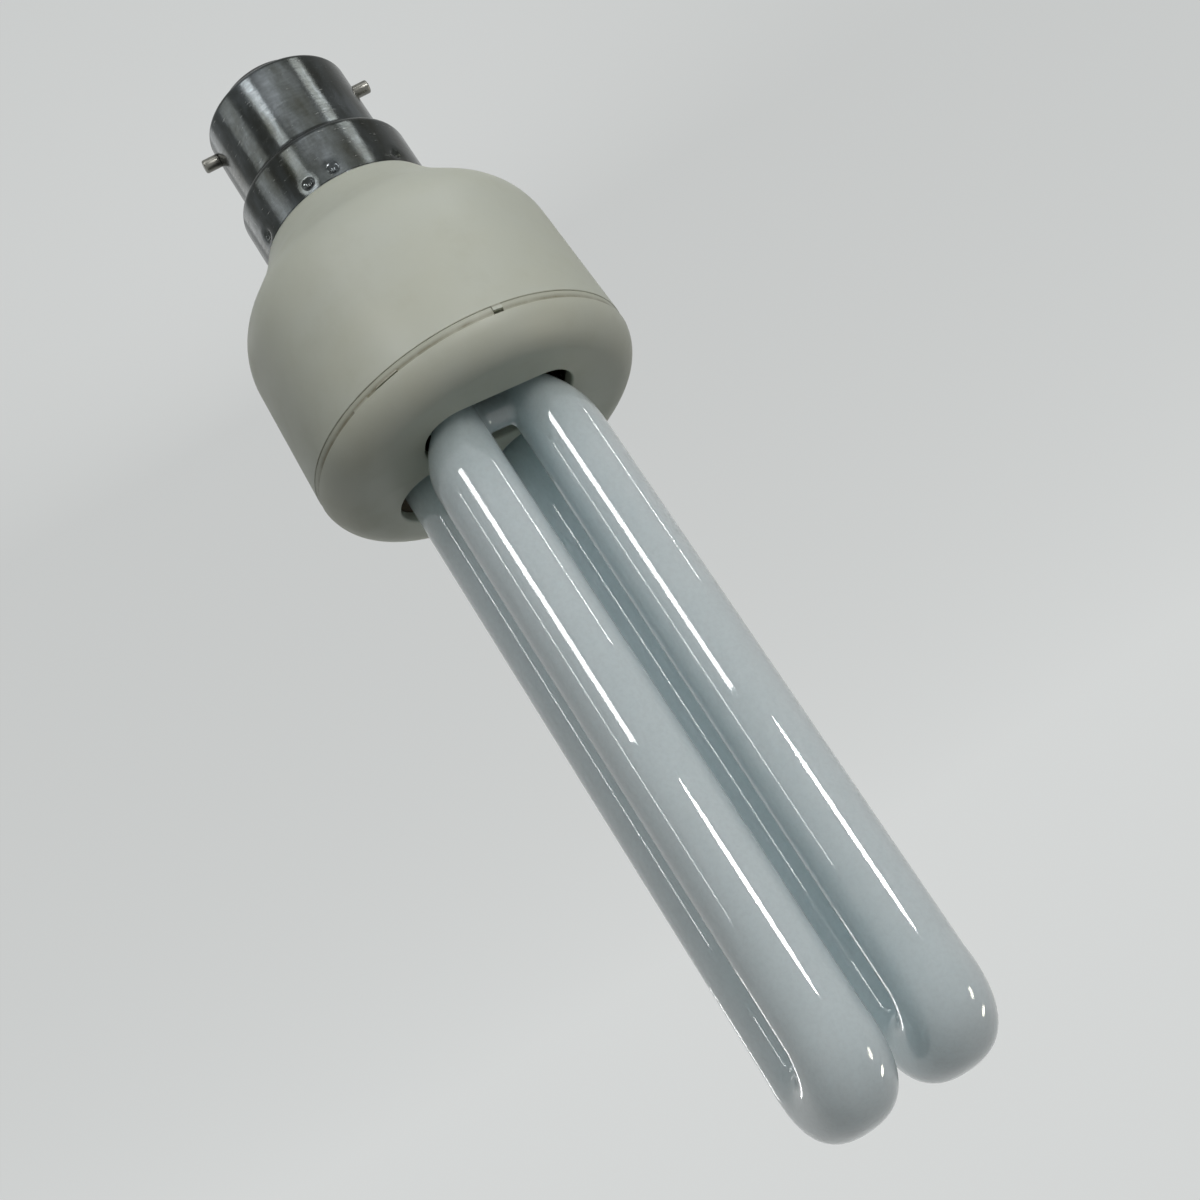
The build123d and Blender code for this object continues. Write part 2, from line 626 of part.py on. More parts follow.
def transistor(spot):
    """A flat moulded power transistor with a fixing eye and three flat legs."""
    low = -TRANSISTOR_STAND - TRANSISTOR_HEIGHT
    body = block(TRANSISTOR_THICK, TRANSISTOR_WIDTH, low, -TRANSISTOR_STAND)
    eye = Pos(0, 0, low + TRANSISTOR_EYE_DROP) * Rot(0, 90, 0) * Cylinder(TRANSISTOR_EYE_R, TRANSISTOR_THICK)
    body -= eye
    for index in (-1, 0, 1):
        body += block(TRANSISTOR_LEAD, TRANSISTOR_LEAD, -TRANSISTOR_STAND, 0, 0, index * TRANSISTOR_PITCH)
    return on_board(body, spot)


def electrolytic_capacitor():
    """A can that stands in the neck on two long leads, rolled in near its rubber end."""
    low = CAN_TOP - CAN_LENGTH
    groove = CAN_TOP - CAN_CRIMP_SET
    can = turned_points(
        (0, low), (CAN_R, low), (CAN_R, groove - CAN_CRIMP), (CAN_R - CAN_CRIMP, groove),
        (CAN_R, groove + CAN_CRIMP), (CAN_R, CAN_TOP), (0, CAN_TOP),
    )
    for side in (-1, 1):
        can += disc(PART_LEAD_R, CAN_TOP, BOARD_FACE, 0, side * CAN_LEAD_PITCH / 2)
    return Pos(*CAN_SPOT, 0) * can


def film_capacitor(size, spot):
    width, depth, height = size
    body = block(width, depth, -FILM_STAND - height, -FILM_STAND)
    body = fillet(body.edges().filter_by(Axis.Z), FILM_ROUND)
    for side in (-1, 1):
        body += disc(PART_LEAD_R, -FILM_STAND, 0, side * (width / 2 - FILM_LEAD_INSET))
    return on_board(body, spot)


def filter_inductor():
    """A drum of ferrite with its winding in the waist, standing on the board."""
    waist_r = INDUCTOR_R - INDUCTOR_WAIST
    drum = turned_points(
        (0, 0), (INDUCTOR_R, 0), (INDUCTOR_R, -INDUCTOR_FLANGE), (waist_r, -INDUCTOR_FLANGE),
        (waist_r, INDUCTOR_FLANGE - INDUCTOR_HEIGHT), (INDUCTOR_R, INDUCTOR_FLANGE - INDUCTOR_HEIGHT),
        (INDUCTOR_R, -INDUCTOR_HEIGHT), (0, -INDUCTOR_HEIGHT),
    )
    return on_board(drum, INDUCTOR_SPOT)


def axial_part(size, spot, turn):
    """A round body that lies on the board between two bent leads."""
    radius, length, pitch = size
    part = Pos(0, 0, -radius) * Rot(0, 90, 0) * Cylinder(radius, length)
    for side in (-1, 1):
        x = side * pitch / 2
        arm = pitch / 2 - length / 2 + PART_LEAD_R
        middle = side * (length / 2 + arm / 2)
        part += Pos(middle, 0, -radius) * Rot(0, 90, 0) * Cylinder(PART_LEAD_R, arm)
        part += disc(PART_LEAD_R, -radius, 0, x)
    return on_board(part, spot, turn)


# Nodes, from the cap up

parts = {
    "cap_shell": cap_shell(),
    "bayonet_pin_right": bayonet_pin(1),
    "bayonet_pin_left": bayonet_pin(-1),
    "cap_insulator": cap_insulator(),
    "contact_plate_front": contact_plate(-1),
    "contact_plate_rear": contact_plate(1),
    "upper_housing": upper_housing(),
    "lower_cover": lower_cover(),
    "discharge_tube": discharge_tube(),
    "tube_cement_right": tube_cement(1),
    "tube_cement_left": tube_cement(-1),
    "circuit_board": circuit_board(),
    "neutral_lead": supply_lead(-1, BOARD_FACE),
    "live_lead": supply_lead(1, fuse_low()),
    "fuse_resistor": fuse_resistor(),
    "choke_core_upper": choke_core_half(True),
    "choke_core_lower": choke_core_half(False),
    "choke_bobbin": choke_bobbin(),
    "choke_winding": choke_winding(),
    "toroid_core": toroid_core(),
    "electrolytic_capacitor": electrolytic_capacitor(),
    "resonant_capacitor": film_capacitor(RESONANT_SIZE, RESONANT_SPOT),
    "coupling_capacitor": film_capacitor(COUPLING_SIZE, COUPLING_SPOT),
    "filter_inductor": filter_inductor(),
    "diac": axial_part(DIAC_SIZE, DIAC_SPOT, 90),
}
for number in range(TOROID_WINDINGS):
    parts[f"toroid_winding_{number + 1}"] = toroid_winding(number)
for number, spot in enumerate(TRANSISTOR_SPOTS):
    parts[f"transistor_{number + 1}"] = transistor(spot)
for number, x in enumerate(DIODE_SPOTS):
    parts[f"rectifier_diode_{number + 1}"] = axial_part(DIODE_SIZE, (x, DIODE_ROW), 90)
for number, spot in enumerate(RESISTOR_SPOTS):
    parts[f"resistor_{number + 1}"] = axial_part(RESISTOR_SIZE, spot, 0)
for number, spot in enumerate(WRAP_PIN_SPOTS):
    parts[f"wrap_pin_{number + 1}"] = wrap_pin(spot)
    outer = 1 if number in (1, 3) else -1
    parts[f"filament_lead_{number + 1}"] = filament_lead(spot, outer * FILAMENT_PITCH / 2)

os.makedirs("parts", exist_ok=True)
for name, shape in parts.items():
    export_step(shape, f"parts/{name}.step")
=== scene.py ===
from math import atan2, cos, hypot, pi, radians, sin, sqrt

import bmesh
import bpy
from mathutils import Matrix, Vector
from mathutils.geometry import tessellate_polygon


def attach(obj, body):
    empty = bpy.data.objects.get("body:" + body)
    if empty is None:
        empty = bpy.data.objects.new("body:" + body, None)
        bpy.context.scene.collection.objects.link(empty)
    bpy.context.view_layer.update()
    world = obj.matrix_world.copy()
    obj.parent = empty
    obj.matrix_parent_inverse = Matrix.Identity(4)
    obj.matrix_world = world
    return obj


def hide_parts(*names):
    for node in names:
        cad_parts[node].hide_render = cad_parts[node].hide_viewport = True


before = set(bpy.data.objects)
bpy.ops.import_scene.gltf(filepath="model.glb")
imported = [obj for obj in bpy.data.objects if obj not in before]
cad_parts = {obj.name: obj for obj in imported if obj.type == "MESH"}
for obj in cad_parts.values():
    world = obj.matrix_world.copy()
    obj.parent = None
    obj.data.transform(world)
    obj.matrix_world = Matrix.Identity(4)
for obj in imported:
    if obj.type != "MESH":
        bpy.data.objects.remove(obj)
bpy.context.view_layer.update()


# Cap shell
# One cup drawn from thin brass sheet and nickel plated: a barrel with a rolled rim, an ogee shoulder and a
# wider skirt. It is held on the housing's neck by eight crimps, driven in by a blunt punch near its open end.

MM = 0.001
BARREL_R = 11.0
SKIRT_R = 13.0
SHEET = 0.4
LIP_R = 9.5
RIM_Z = 3.4
RIM_ROUND = 0.9
BARREL_TOP = 16.6
SKIRT_START = 19.2
SKIRT_TOP = 27.2
SKIRT_EDGE = 0.14
CRIMP_Z = 25.6
CRIMP_R = 1.7
CRIMP_DISH_R = 0.85
CRIMP_DISH_DEPTH = 0.06
CRIMP_TIP_R = 0.3
CRIMP_TIP_DEPTH = 0.5
CRIMP_ANGLES = (46, 91, 108.5, 154, 226, 271, 288.5, 334)
CAP_STEPS = 400
ON_AXIS = 1e-6


def arc(centre, radius, start, stop, steps):
    """Points of radius and height on an arc, from one angle to another in degrees."""
    points = []
    for step in range(steps + 1):
        angle = radians(start + (stop - start) * step / steps)
        points.append((centre[0] + radius * cos(angle), centre[1] + radius * sin(angle)))
    return points


def ogee(low, high, steps):
    """Points of two equal arcs that leave and arrive parallel to the axis."""
    run, rise = (high[0] - low[0]) / 2, (high[1] - low[1]) / 2
    radius = (run * run + rise * rise) / (2 * run)
    turn = atan2(rise, radius - run) * 180 / pi
    first = arc((low[0] + radius, low[1]), radius, 180, 180 - turn, steps)
    second = arc((high[0] - radius, high[1]), radius, -turn, 0, steps)
    return first + second[1:]


def straight(low, high, steps):
    """Points between two ends, without the ends."""
    shares = [step / steps for step in range(1, steps)]
    return [(low[0] + (high[0] - low[0]) * share, low[1] + (high[1] - low[1]) * share) for share in shares]


def turned_shape(outline, steps):
    """Turn an outline of radius and height about the lamp's axis.

    The outline is closed, unless it starts and ends on the axis.
    """
    points, rings, faces = [], [], []
    for radius, height in outline:
        if radius < ON_AXIS:
            rings.append([len(points)] * steps)
            points.append((0.0, 0.0, height))
            continue
        rings.append(list(range(len(points), len(points) + steps)))
        for step in range(steps):
            angle = 2 * pi * step / steps
            points.append((radius * cos(angle), radius * sin(angle), height))
    starts_and_ends_on_axis = outline[0][0] < ON_AXIS and outline[-1][0] < ON_AXIS
    following = rings[1:] if starts_and_ends_on_axis else rings[1:] + rings[:1]
    for ring, following_ring in zip(rings, following):
        faces.extend(band(ring, following_ring))
    return points, faces


def band(ring, following_ring):
    """Faces between two rings of as many points, where a ring may be one point repeated."""
    faces = []
    for index in range(len(ring)):
        after = (index + 1) % len(ring)
        corners = (ring[index], ring[after], following_ring[after], following_ring[index])
        corners = tuple(dict.fromkeys(corners))
        if len(corners) > 2:
            faces.append(corners)
    return faces


def make_piece(name, points, faces, crease=32):
    """A smooth-shaded piece from points in millimetres.

    An edge stays sharp where it turns by more than the crease, in degrees.
    """
    mesh = bpy.data.meshes.new(name)
    mesh.from_pydata([Vector(point) * MM for point in points], [], faces)
    sides = bmesh.new()
    sides.from_mesh(mesh)
    bmesh.ops.recalc_face_normals(sides, faces=sides.faces)
    sides.to_mesh(mesh)
    sides.free()
    mesh.shade_smooth()
    mesh.set_sharp_from_angle(angle=radians(crease))
    piece = bpy.data.objects.new(name, mesh)
    bpy.context.scene.collection.objects.link(piece)
    return piece


def paint(red, green, blue):
    """A colour written as a screen shows it, in shader values."""
    values = []
    for part in (red, green, blue):
        share = part / 255
        values.append(share / 12.92 if share < 0.04045 else ((share + 0.055) / 1.055) ** 2.4)
    return (*values, 1.0)


def grey(share):
    """A neutral shader colour, from 0 for black to 1 for white."""
    return (share, share, share, 1)


def new_finish(name):
    """An empty finish with its node tree and its shader."""
    material = bpy.data.materials.new(name)
    material.use_nodes = True
    tree = material.node_tree
    return material, tree, tree.nodes["Principled BSDF"]


def speckle(tree, scale, stretch=(1, 1, 1), detail=5.0, roughness=0.55):
    """Noise on the lamp's own coordinates, with so many grains to a metre."""
    place = tree.nodes.new("ShaderNodeTexCoord")
    mapping = tree.nodes.new("ShaderNodeMapping")
    noise = tree.nodes.new("ShaderNodeTexNoise")
    mapping.inputs["Scale"].default_value = stretch
    noise.inputs["Scale"].default_value = scale
    noise.inputs["Detail"].default_value = detail
    noise.inputs["Roughness"].default_value = roughness
    tree.links.new(place.outputs["Object"], mapping.inputs["Vector"])
    tree.links.new(mapping.outputs["Vector"], noise.inputs["Vector"])
    return noise.outputs["Fac"]


def shades(tree, amount, *stops):
    """Colours along an amount: each stop is a place from 0 to 1 and a colour."""
    ramp = tree.nodes.new("ShaderNodeValToRGB")
    elements = ramp.color_ramp.elements
    while len(elements) < len(stops):
        elements.new(0.5)
    for element, (place, colour) in zip(elements, stops):
        element.position = place
        element.color = colour
    tree.links.new(amount, ramp.inputs["Fac"])
    return ramp.outputs["Color"]


def spread(tree, amount, low, high, start=0.0, stop=1.0):
    """An amount from start to stop, stretched to run from low to high."""
    stretch = tree.nodes.new("ShaderNodeMapRange")
    stretch.inputs["From Min"].default_value = start
    stretch.inputs["From Max"].default_value = stop
    stretch.inputs["To Min"].default_value = low
    stretch.inputs["To Max"].default_value = high
    tree.links.new(amount, stretch.inputs["Value"])
    return stretch.outputs["Result"]


def over(tree, kind, amount, under, top):
    """Two colours mixed in a stated way; the amount is a number or a socket."""
    mix = tree.nodes.new("ShaderNodeMix")
    mix.data_type = "RGBA"
    mix.blend_type = kind
    for value, socket in ((amount, mix.inputs[0]), (under, mix.inputs[6]), (top, mix.inputs[7])):
        if isinstance(value, bpy.types.NodeSocket):
            tree.links.new(value, socket)
        else:
            socket.default_value = value
    return mix.outputs[2]


def relief(tree, height, depth, strength=1.0, under=None):
    """A bump of a depth in metres, laid over another where one is given."""
    bump = tree.nodes.new("ShaderNodeBump")
    bump.inputs["Strength"].default_value = strength
    bump.inputs["Distance"].default_value = depth
    tree.links.new(height, bump.inputs["Height"])
    if under is not None:
        tree.links.new(under, bump.inputs["Normal"])
    return bump.outputs["Normal"]


barrel_bore = BARREL_R - SHEET
skirt_bore = SKIRT_R - SHEET
bore_round = RIM_ROUND - SHEET
cap_outline = [(LIP_R, RIM_Z)]
cap_outline += arc((BARREL_R - RIM_ROUND, RIM_Z + RIM_ROUND), RIM_ROUND, -90, 0, steps=10)
cap_outline += straight((BARREL_R, RIM_Z + RIM_ROUND), (BARREL_R, BARREL_TOP), steps=8)
cap_outline += ogee((BARREL_R, BARREL_TOP), (SKIRT_R, SKIRT_START), steps=10)
cap_outline += straight((SKIRT_R, SKIRT_START), (SKIRT_R, SKIRT_TOP - SKIRT_EDGE), steps=36)
cap_outline += arc((SKIRT_R - SKIRT_EDGE, SKIRT_TOP - SKIRT_EDGE), SKIRT_EDGE, 0, 90, steps=4)
cap_outline += [(skirt_bore, SKIRT_TOP)]
cap_outline += straight((skirt_bore, SKIRT_TOP), (skirt_bore, SKIRT_START + SHEET), steps=30)
cap_outline += ogee((barrel_bore, BARREL_TOP + SHEET), (skirt_bore, SKIRT_START + SHEET), steps=6)[::-1]
cap_outline += arc((barrel_bore - bore_round, RIM_Z + RIM_ROUND), bore_round, 0, -90, steps=5)
cap_outline += [(LIP_R, RIM_Z + SHEET)]
cap_points, cap_faces = turned_shape(cap_outline, CAP_STEPS)


def crimped(point):
    """Push a point of the skirt inwards where a crimp is punched."""
    x, y, z = point
    radius = hypot(x, y)
    if z < SKIRT_START + SHEET:
        return point
    depth = 0.0
    for angle in CRIMP_ANGLES:
        turn = (atan2(y, x) - radians(angle) + pi) % (2 * pi) - pi
        away = hypot(turn * SKIRT_R, z - CRIMP_Z)
        dished = min(1.0, max(0.0, (CRIMP_R - away) / (CRIMP_R - CRIMP_DISH_R)))
        driven = min(1.0, max(0.0, (CRIMP_DISH_R - away) / (CRIMP_DISH_R - CRIMP_TIP_R)))
        depth = max(depth, CRIMP_DISH_DEPTH * dished + (CRIMP_TIP_DEPTH - CRIMP_DISH_DEPTH) * driven)
    scale = (radius - depth) / radius
    return (x * scale, y * scale, z)


cap = make_piece("cap_shell_drawn", [crimped(point) for point in cap_points], cap_faces)

nickel, tree, shader = new_finish("drawn_nickel")
clouds = speckle(tree, 260, stretch=(1, 1, 0.35))
draw_lines = speckle(tree, 1500, stretch=(1, 1, 0.06), detail=4.0)
scuffs = speckle(tree, 900, stretch=(0.5, 0.5, 3.0), detail=8.0, roughness=0.7)
plate = shades(tree, clouds, (0.32, paint(46, 47, 42)), (0.5, paint(62, 65, 64)), (0.68, paint(86, 90, 92)))
worn = shades(tree, scuffs, (0.62, grey(0)), (0.72, grey(0.8)))
plate = over(tree, "MIX", worn, plate, paint(150, 151, 148))
tree.links.new(plate, shader.inputs["Base Color"])
tree.links.new(spread(tree, scuffs, 0.12, 0.28, start=0.32, stop=0.68), shader.inputs["Roughness"])
shader.inputs["Metallic"].default_value = 1.0
shader.inputs["Anisotropic"].default_value = 0.7
shader.inputs["Anisotropic Rotation"].default_value = 0.25
around = tree.nodes.new("ShaderNodeTangent")
around.direction_type = "RADIAL"
around.axis = "Z"
tree.links.new(around.outputs["Tangent"], shader.inputs["Tangent"])
dented = relief(tree, clouds, depth=0.0003, strength=0.1)
drawn = relief(tree, draw_lines, depth=0.00002, strength=0.12, under=dented)
scuffed = relief(tree, scuffs, depth=0.00003, strength=0.25, under=drawn)
tree.links.new(scuffed, shader.inputs["Normal"])

cap.data.materials.append(nickel)
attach(cap, "root")
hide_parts("cap_shell")


# Bayonet pins
# Two turned brass pins, plated with the cap. Each goes through the barrel, where its shank is staked
# over against the bore, and its free end has a rounded edge that rides in the holder's slot.

PIN_R = 1.0
PIN_TIP = 13.4
PIN_Z = 6.65
PIN_SHANK_R = 0.7
PIN_HEAD_R = 1.4
PIN_HEAD = 0.6
PIN_HEAD_ROUND = 0.2
PIN_TUCK = 0.05
PIN_TIP_ROUND = 0.3
PIN_FOOT_ROUND = 0.12
PIN_STEPS = 48

pin_seat = sqrt(barrel_bore**2 - PIN_HEAD_R**2)
pin_end = pin_seat - PIN_HEAD
pin_foot = BARREL_R - PIN_TUCK
pin_outline = [(0, pin_end)]
pin_outline += arc((PIN_HEAD_R - PIN_HEAD_ROUND, pin_end + PIN_HEAD_ROUND), PIN_HEAD_ROUND, -90, 0, steps=4)
pin_outline += [(PIN_HEAD_R, pin_seat), (PIN_SHANK_R, pin_seat), (PIN_SHANK_R, pin_foot)]
pin_outline += arc((PIN_R - PIN_FOOT_ROUND, pin_foot + PIN_FOOT_ROUND), PIN_FOOT_ROUND, -90, 0, steps=3)
pin_outline += arc((PIN_R - PIN_TIP_ROUND, PIN_TIP - PIN_TIP_ROUND), PIN_TIP_ROUND, 0, 90, steps=6)
pin_outline += [(0, PIN_TIP)]
pin_points, pin_faces = turned_shape(pin_outline, PIN_STEPS)

pin_metal, tree, shader = new_finish("turned_pin_plate")
turning = speckle(tree, 2600, stretch=(3.0, 0.4, 0.4), detail=3.0)
dull = speckle(tree, 700)
tint = shades(tree, dull, (0.35, paint(106, 105, 100)), (0.65, paint(134, 133, 127)))
tree.links.new(tint, shader.inputs["Base Color"])
tree.links.new(spread(tree, dull, 0.22, 0.42, start=0.3, stop=0.7), shader.inputs["Roughness"])
shader.inputs["Metallic"].default_value = 1.0
tree.links.new(relief(tree, turning, depth=0.00002, strength=0.4), shader.inputs["Normal"])

for side, name in ((1, "right"), (-1, "left")):
    placed = [(side * z, y, PIN_Z + side * x) for x, y, z in pin_points]
    pin = make_piece("bayonet_pin_turned_" + name, placed, pin_faces)
    pin.data.materials.append(pin_metal)
    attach(pin, "root")
    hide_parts("bayonet_pin_" + name)


# Insulator and contacts
# The end of the cap is a plug of black vitreous glass, pressed while soft, with a low conical nose.
# Two tinned plates lie in recesses in it, and each ends in a low dome of solder over the supply wire.

NOSE_Z = 0.8
NOSE_R = 7.7
NOSE_BASE_R = 9.2
NOSE_ROUND = 0.35
FLANGE_R = 10.1
FLANGE_Z = 3.8
GLASS_BACK = 4.9
CONTACT_R = 2.7
CONTACT_GAP = 0.05
CONTACT_Y = 4.4
CONTACT_FLOOR = 1.1
CONTACT_CREASE = 50
SOLDER_DOME = ((0, 0), (0.84, 0), (1.4, 0.04), (1.85, 0.13), (2.25, 0.27), (2.56, 0.41), (CONTACT_R, 0.58))
CONTACT_STEPS = 64
NOSE_STEPS = 160


def pierced_face(points, rim, openings):
    """Triangles of a flat face inside a rim of points, around the points of its openings."""
    edges = [rim, *openings]
    loops = [[Vector((points[index][0], points[index][1], 0)) for index in edge] for edge in edges]
    flat = [index for edge in edges for index in edge]
    return [tuple(flat[corner] for corner in corners) for corners in tessellate_polygon(loops)]


def add_ring(points, ring_points):
    """Put a ring of points on the end of a list and return their places in it."""
    start = len(points)
    points.extend(ring_points)
    return list(range(start, len(points)))


def circle(radius, x, y, z, steps):
    """Points of a level circle."""
    angles = [2 * pi * step / steps for step in range(steps)]
    return [(x + radius * cos(angle), y + radius * sin(angle), z) for angle in angles]


glass_points, glass_faces = [], []
nose_outline = arc((NOSE_R - NOSE_ROUND, NOSE_Z + NOSE_ROUND), NOSE_ROUND, -90, -25, steps=5)
nose_outline += [(NOSE_BASE_R, FLANGE_Z), (FLANGE_R, FLANGE_Z), (FLANGE_R, GLASS_BACK)]
glass_rings = [add_ring(glass_points, circle(r, 0, 0, z, NOSE_STEPS)) for r, z in nose_outline]
for ring, following_ring in zip(glass_rings, glass_rings[1:]):
    glass_faces += band(ring, following_ring)
recess_rings = []
for side in (-1, 1):
    recess_r = CONTACT_R + CONTACT_GAP
    top_ring = add_ring(glass_points, circle(recess_r, 0, side * CONTACT_Y, NOSE_Z, CONTACT_STEPS))
    floor_ring = add_ring(glass_points, circle(recess_r, 0, side * CONTACT_Y, CONTACT_FLOOR, CONTACT_STEPS))
    glass_faces += band(top_ring, floor_ring)
    glass_faces.append(tuple(floor_ring))
    recess_rings.append(top_ring)
glass_faces += pierced_face(glass_points, glass_rings[0], recess_rings)
glass_faces.append(tuple(glass_rings[-1]))
insulator = make_piece("cap_insulator_pressed", glass_points, glass_faces)

black_glass, tree, shader = new_finish("black_vitrite")
ripples = speckle(tree, 420, detail=3.0)
dust = speckle(tree, 2400, detail=8.0)
glass_tint = shades(tree, ripples, (0.3, paint(14, 14, 16)), (0.7, paint(30, 29, 31)))
dusty = shades(tree, dust, (0.6, grey(0)), (0.72, grey(0.35)))
tree.links.new(over(tree, "MIX", dusty, glass_tint, paint(96, 92, 86)), shader.inputs["Base Color"])
tree.links.new(spread(tree, ripples, 0.10, 0.30, start=0.3, stop=0.7), shader.inputs["Roughness"])
tree.links.new(relief(tree, ripples, depth=0.00012, strength=0.35), shader.inputs["Normal"])

insulator.data.materials.append(black_glass)
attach(insulator, "root")
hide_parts("cap_insulator")

solder, tree, shader = new_finish("contact_solder")
flow = speckle(tree, 900, detail=6.0)
pits = speckle(tree, 3800, detail=4.0)
solder_tint = shades(tree, flow, (0.3, paint(140, 140, 142)), (0.7, paint(186, 186, 186)))
tree.links.new(solder_tint, shader.inputs["Base Color"])
tree.links.new(spread(tree, pits, 0.26, 0.52, start=0.3, stop=0.7), shader.inputs["Roughness"])
shader.inputs["Metallic"].default_value = 1.0
flowed = relief(tree, flow, depth=0.00025, strength=0.45)
pitted = relief(tree, pits, depth=0.00004, strength=0.4, under=flowed)
tree.links.new(pitted, shader.inputs["Normal"])

contact_outline = [*SOLDER_DOME, (CONTACT_R, CONTACT_FLOOR), (0, CONTACT_FLOOR)]
contact_points, contact_faces = turned_shape(contact_outline, CONTACT_STEPS)
for side, name in ((-1, "front"), (1, "rear")):
    placed = [(x, y + side * CONTACT_Y, z) for x, y, z in contact_points]
    contact = make_piece("contact_plate_soldered_" + name, placed, contact_faces, CONTACT_CREASE)
    contact.data.materials.append(solder)
    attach(contact, "root")
    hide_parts("contact_plate_" + name)


# Upper housing
# A thin-walled moulding in warm white heat-proof plastic: a neck inside the cap, a flared shoulder and a
# slightly conical body. Ribs inside carry the board, and one small tab at the seam locates the cover.

HOUSING_STEPS = 224
NECK_R = 12.4
NECK_BORE = 10.5
NECK_END = 20.0
NECK_ROOT_R = 13.2
FLARE = (15.3, 30.8)
FLARE_CUT = 3.6
SHOULDER = (23.15, 39.0)
SHOULDER_CUT = 4.09
BODY_R = 23.92
SEAM_Z = 61.7
MOULD_EDGE = 0.22
BODY_BORE = 22.22
CAVITY_CORNER_Z = 40.49
CAVITY_CUT = 3.0
THROAT_Z = 28.25
RIB_ANGLES = (0, 60, 120, 180, 240, 300)
RIB_SPAN = 3.2
RIB_IN_R = 20.72
RIB_LOW = 49.7
RIB_HIGH = 54.7
SEAM_EDGE = 0.12
SOFT_EDGE = 0.06
TAB_ANGLE = 256.5
TAB_SPAN = 3.2
TAB_IN_R = 23.52
TAB_TOP = 62.4
TAB_ROOT = 0.4
TAB_TUCK = 0.002
WIDE_ROUND = 1.0
WIDE_ROUND_STEPS = 14
ROUND_STEPS = 5
STEPS_PER_DEGREE = 2
LEAST_STEPS = 4
SMUDGE = (0.95, 0.945, 0.925, 1)
SPECK = (0.55, 0.51, 0.45, 1)
# Darker tone near given heights: on the cover it is painted shade in the seam band.
DARKENING = (0.42, 0.38, 0.31, 1)


def bent_line(corners, closed=False):
    """Points along straight runs whose corners are rounded.

    A corner is a radius, a height and the run that its rounding cuts off on each side.
    """
    line = []
    count = len(corners)
    for index, (x, z, cut) in enumerate(corners):
        if cut == 0 or (not closed and index in (0, count - 1)):
            line.append((x, z))
            continue
        before, after = corners[index - 1], corners[(index + 1) % count]
        first = Vector((before[0] - x, before[1] - z)).normalized()
        second = Vector((after[0] - x, after[1] - z)).normalized()
        half = first.angle(second) / 2
        centre = Vector((x, z)) + (first + second).normalized() * cut / cos(half)
        start = Vector((x, z)) + first * cut - centre
        stop = Vector((x, z)) + second * cut - centre
        steps = WIDE_ROUND_STEPS if cut > WIDE_ROUND else ROUND_STEPS
        start_angle = atan2(start.y, start.x)
        turn = (atan2(stop.y, stop.x) - start_angle + pi) % (2 * pi) - pi
        for step in range(steps + 1):
            angle = start_angle + turn * step / steps
            line.append((centre.x + start.length * cos(angle), centre.y + start.length * sin(angle)))
    return line


def soft_section(inner, outer, low, high):
    """A block's section of radius and height with softened corners."""
    corners = ((inner, low), (outer, low), (outer, high), (inner, high))
    return bent_line([(*corner, SOFT_EDGE) for corner in corners], closed=True)


def ring_block(points, faces, section, middle, span):
    """Add a block of a ring by its section, middle angle and span in degrees."""
    steps = max(LEAST_STEPS, int(span * STEPS_PER_DEGREE))
    rings = []
    for step in range(steps + 1):
        angle = radians(middle - span / 2 + span * step / steps)
        rings.append(add_ring(points, [(r * cos(angle), r * sin(angle), z) for r, z in section]))
    for ring, following_ring in zip(rings, rings[1:]):
        faces.extend(band(ring, following_ring))
    faces.append(tuple(rings[0]))
    faces.append(tuple(rings[-1]))


housing_outline = bent_line([
    (NECK_R, NECK_END, MOULD_EDGE), (NECK_R, SKIRT_TOP, 0), (NECK_ROOT_R, SKIRT_TOP, MOULD_EDGE),
    (*FLARE, FLARE_CUT), (*SHOULDER, SHOULDER_CUT), (BODY_R, SEAM_Z, SEAM_EDGE),
    (BODY_BORE, SEAM_Z, MOULD_EDGE), (BODY_BORE, CAVITY_CORNER_Z, CAVITY_CUT),
    (NECK_BORE, THROAT_Z, MOULD_EDGE), (NECK_BORE, NECK_END, MOULD_EDGE),
], closed=True)
housing_points, housing_faces = turned_shape(housing_outline, HOUSING_STEPS)
rib_section = soft_section(RIB_IN_R, BODY_BORE + SOFT_EDGE, RIB_LOW, RIB_HIGH)
for angle in RIB_ANGLES:
    ring_block(housing_points, housing_faces, rib_section, angle, RIB_SPAN)
body_taper = (BODY_R - SHOULDER[0]) / (SEAM_Z - SHOULDER[1])
tab_r = BODY_R - TAB_TUCK
tab_section = bent_line([
    (TAB_IN_R, SEAM_Z - TAB_ROOT, 0), (tab_r - TAB_ROOT * body_taper, SEAM_Z - TAB_ROOT, 0),
    (tab_r, SEAM_Z, 0), (tab_r, TAB_TOP, SOFT_EDGE), (TAB_IN_R, TAB_TOP, SOFT_EDGE),
], closed=True)
ring_block(housing_points, housing_faces, tab_section, TAB_ANGLE, TAB_SPAN)
housing = make_piece("upper_housing_moulded", housing_points, housing_faces)


def along_axis(tree):
    """The height above the contacts, in metres."""
    place = tree.nodes.new("ShaderNodeTexCoord")
    split = tree.nodes.new("ShaderNodeSeparateXYZ")
    tree.links.new(place.outputs["Object"], split.inputs["Vector"])
    return split.outputs["Z"]


def near_level(tree, level, reach):
    """One at a height in millimetres, falling to nothing a reach away from it."""
    away = tree.nodes.new("ShaderNodeMath")
    away.operation = "SUBTRACT"
    away.inputs[1].default_value = level * MM
    tree.links.new(along_axis(tree), away.inputs[0])
    size = tree.nodes.new("ShaderNodeMath")
    size.operation = "ABSOLUTE"
    tree.links.new(away.outputs["Value"], size.inputs[0])
    return spread(tree, size.outputs["Value"], 1.0, 0.0, stop=reach * MM)


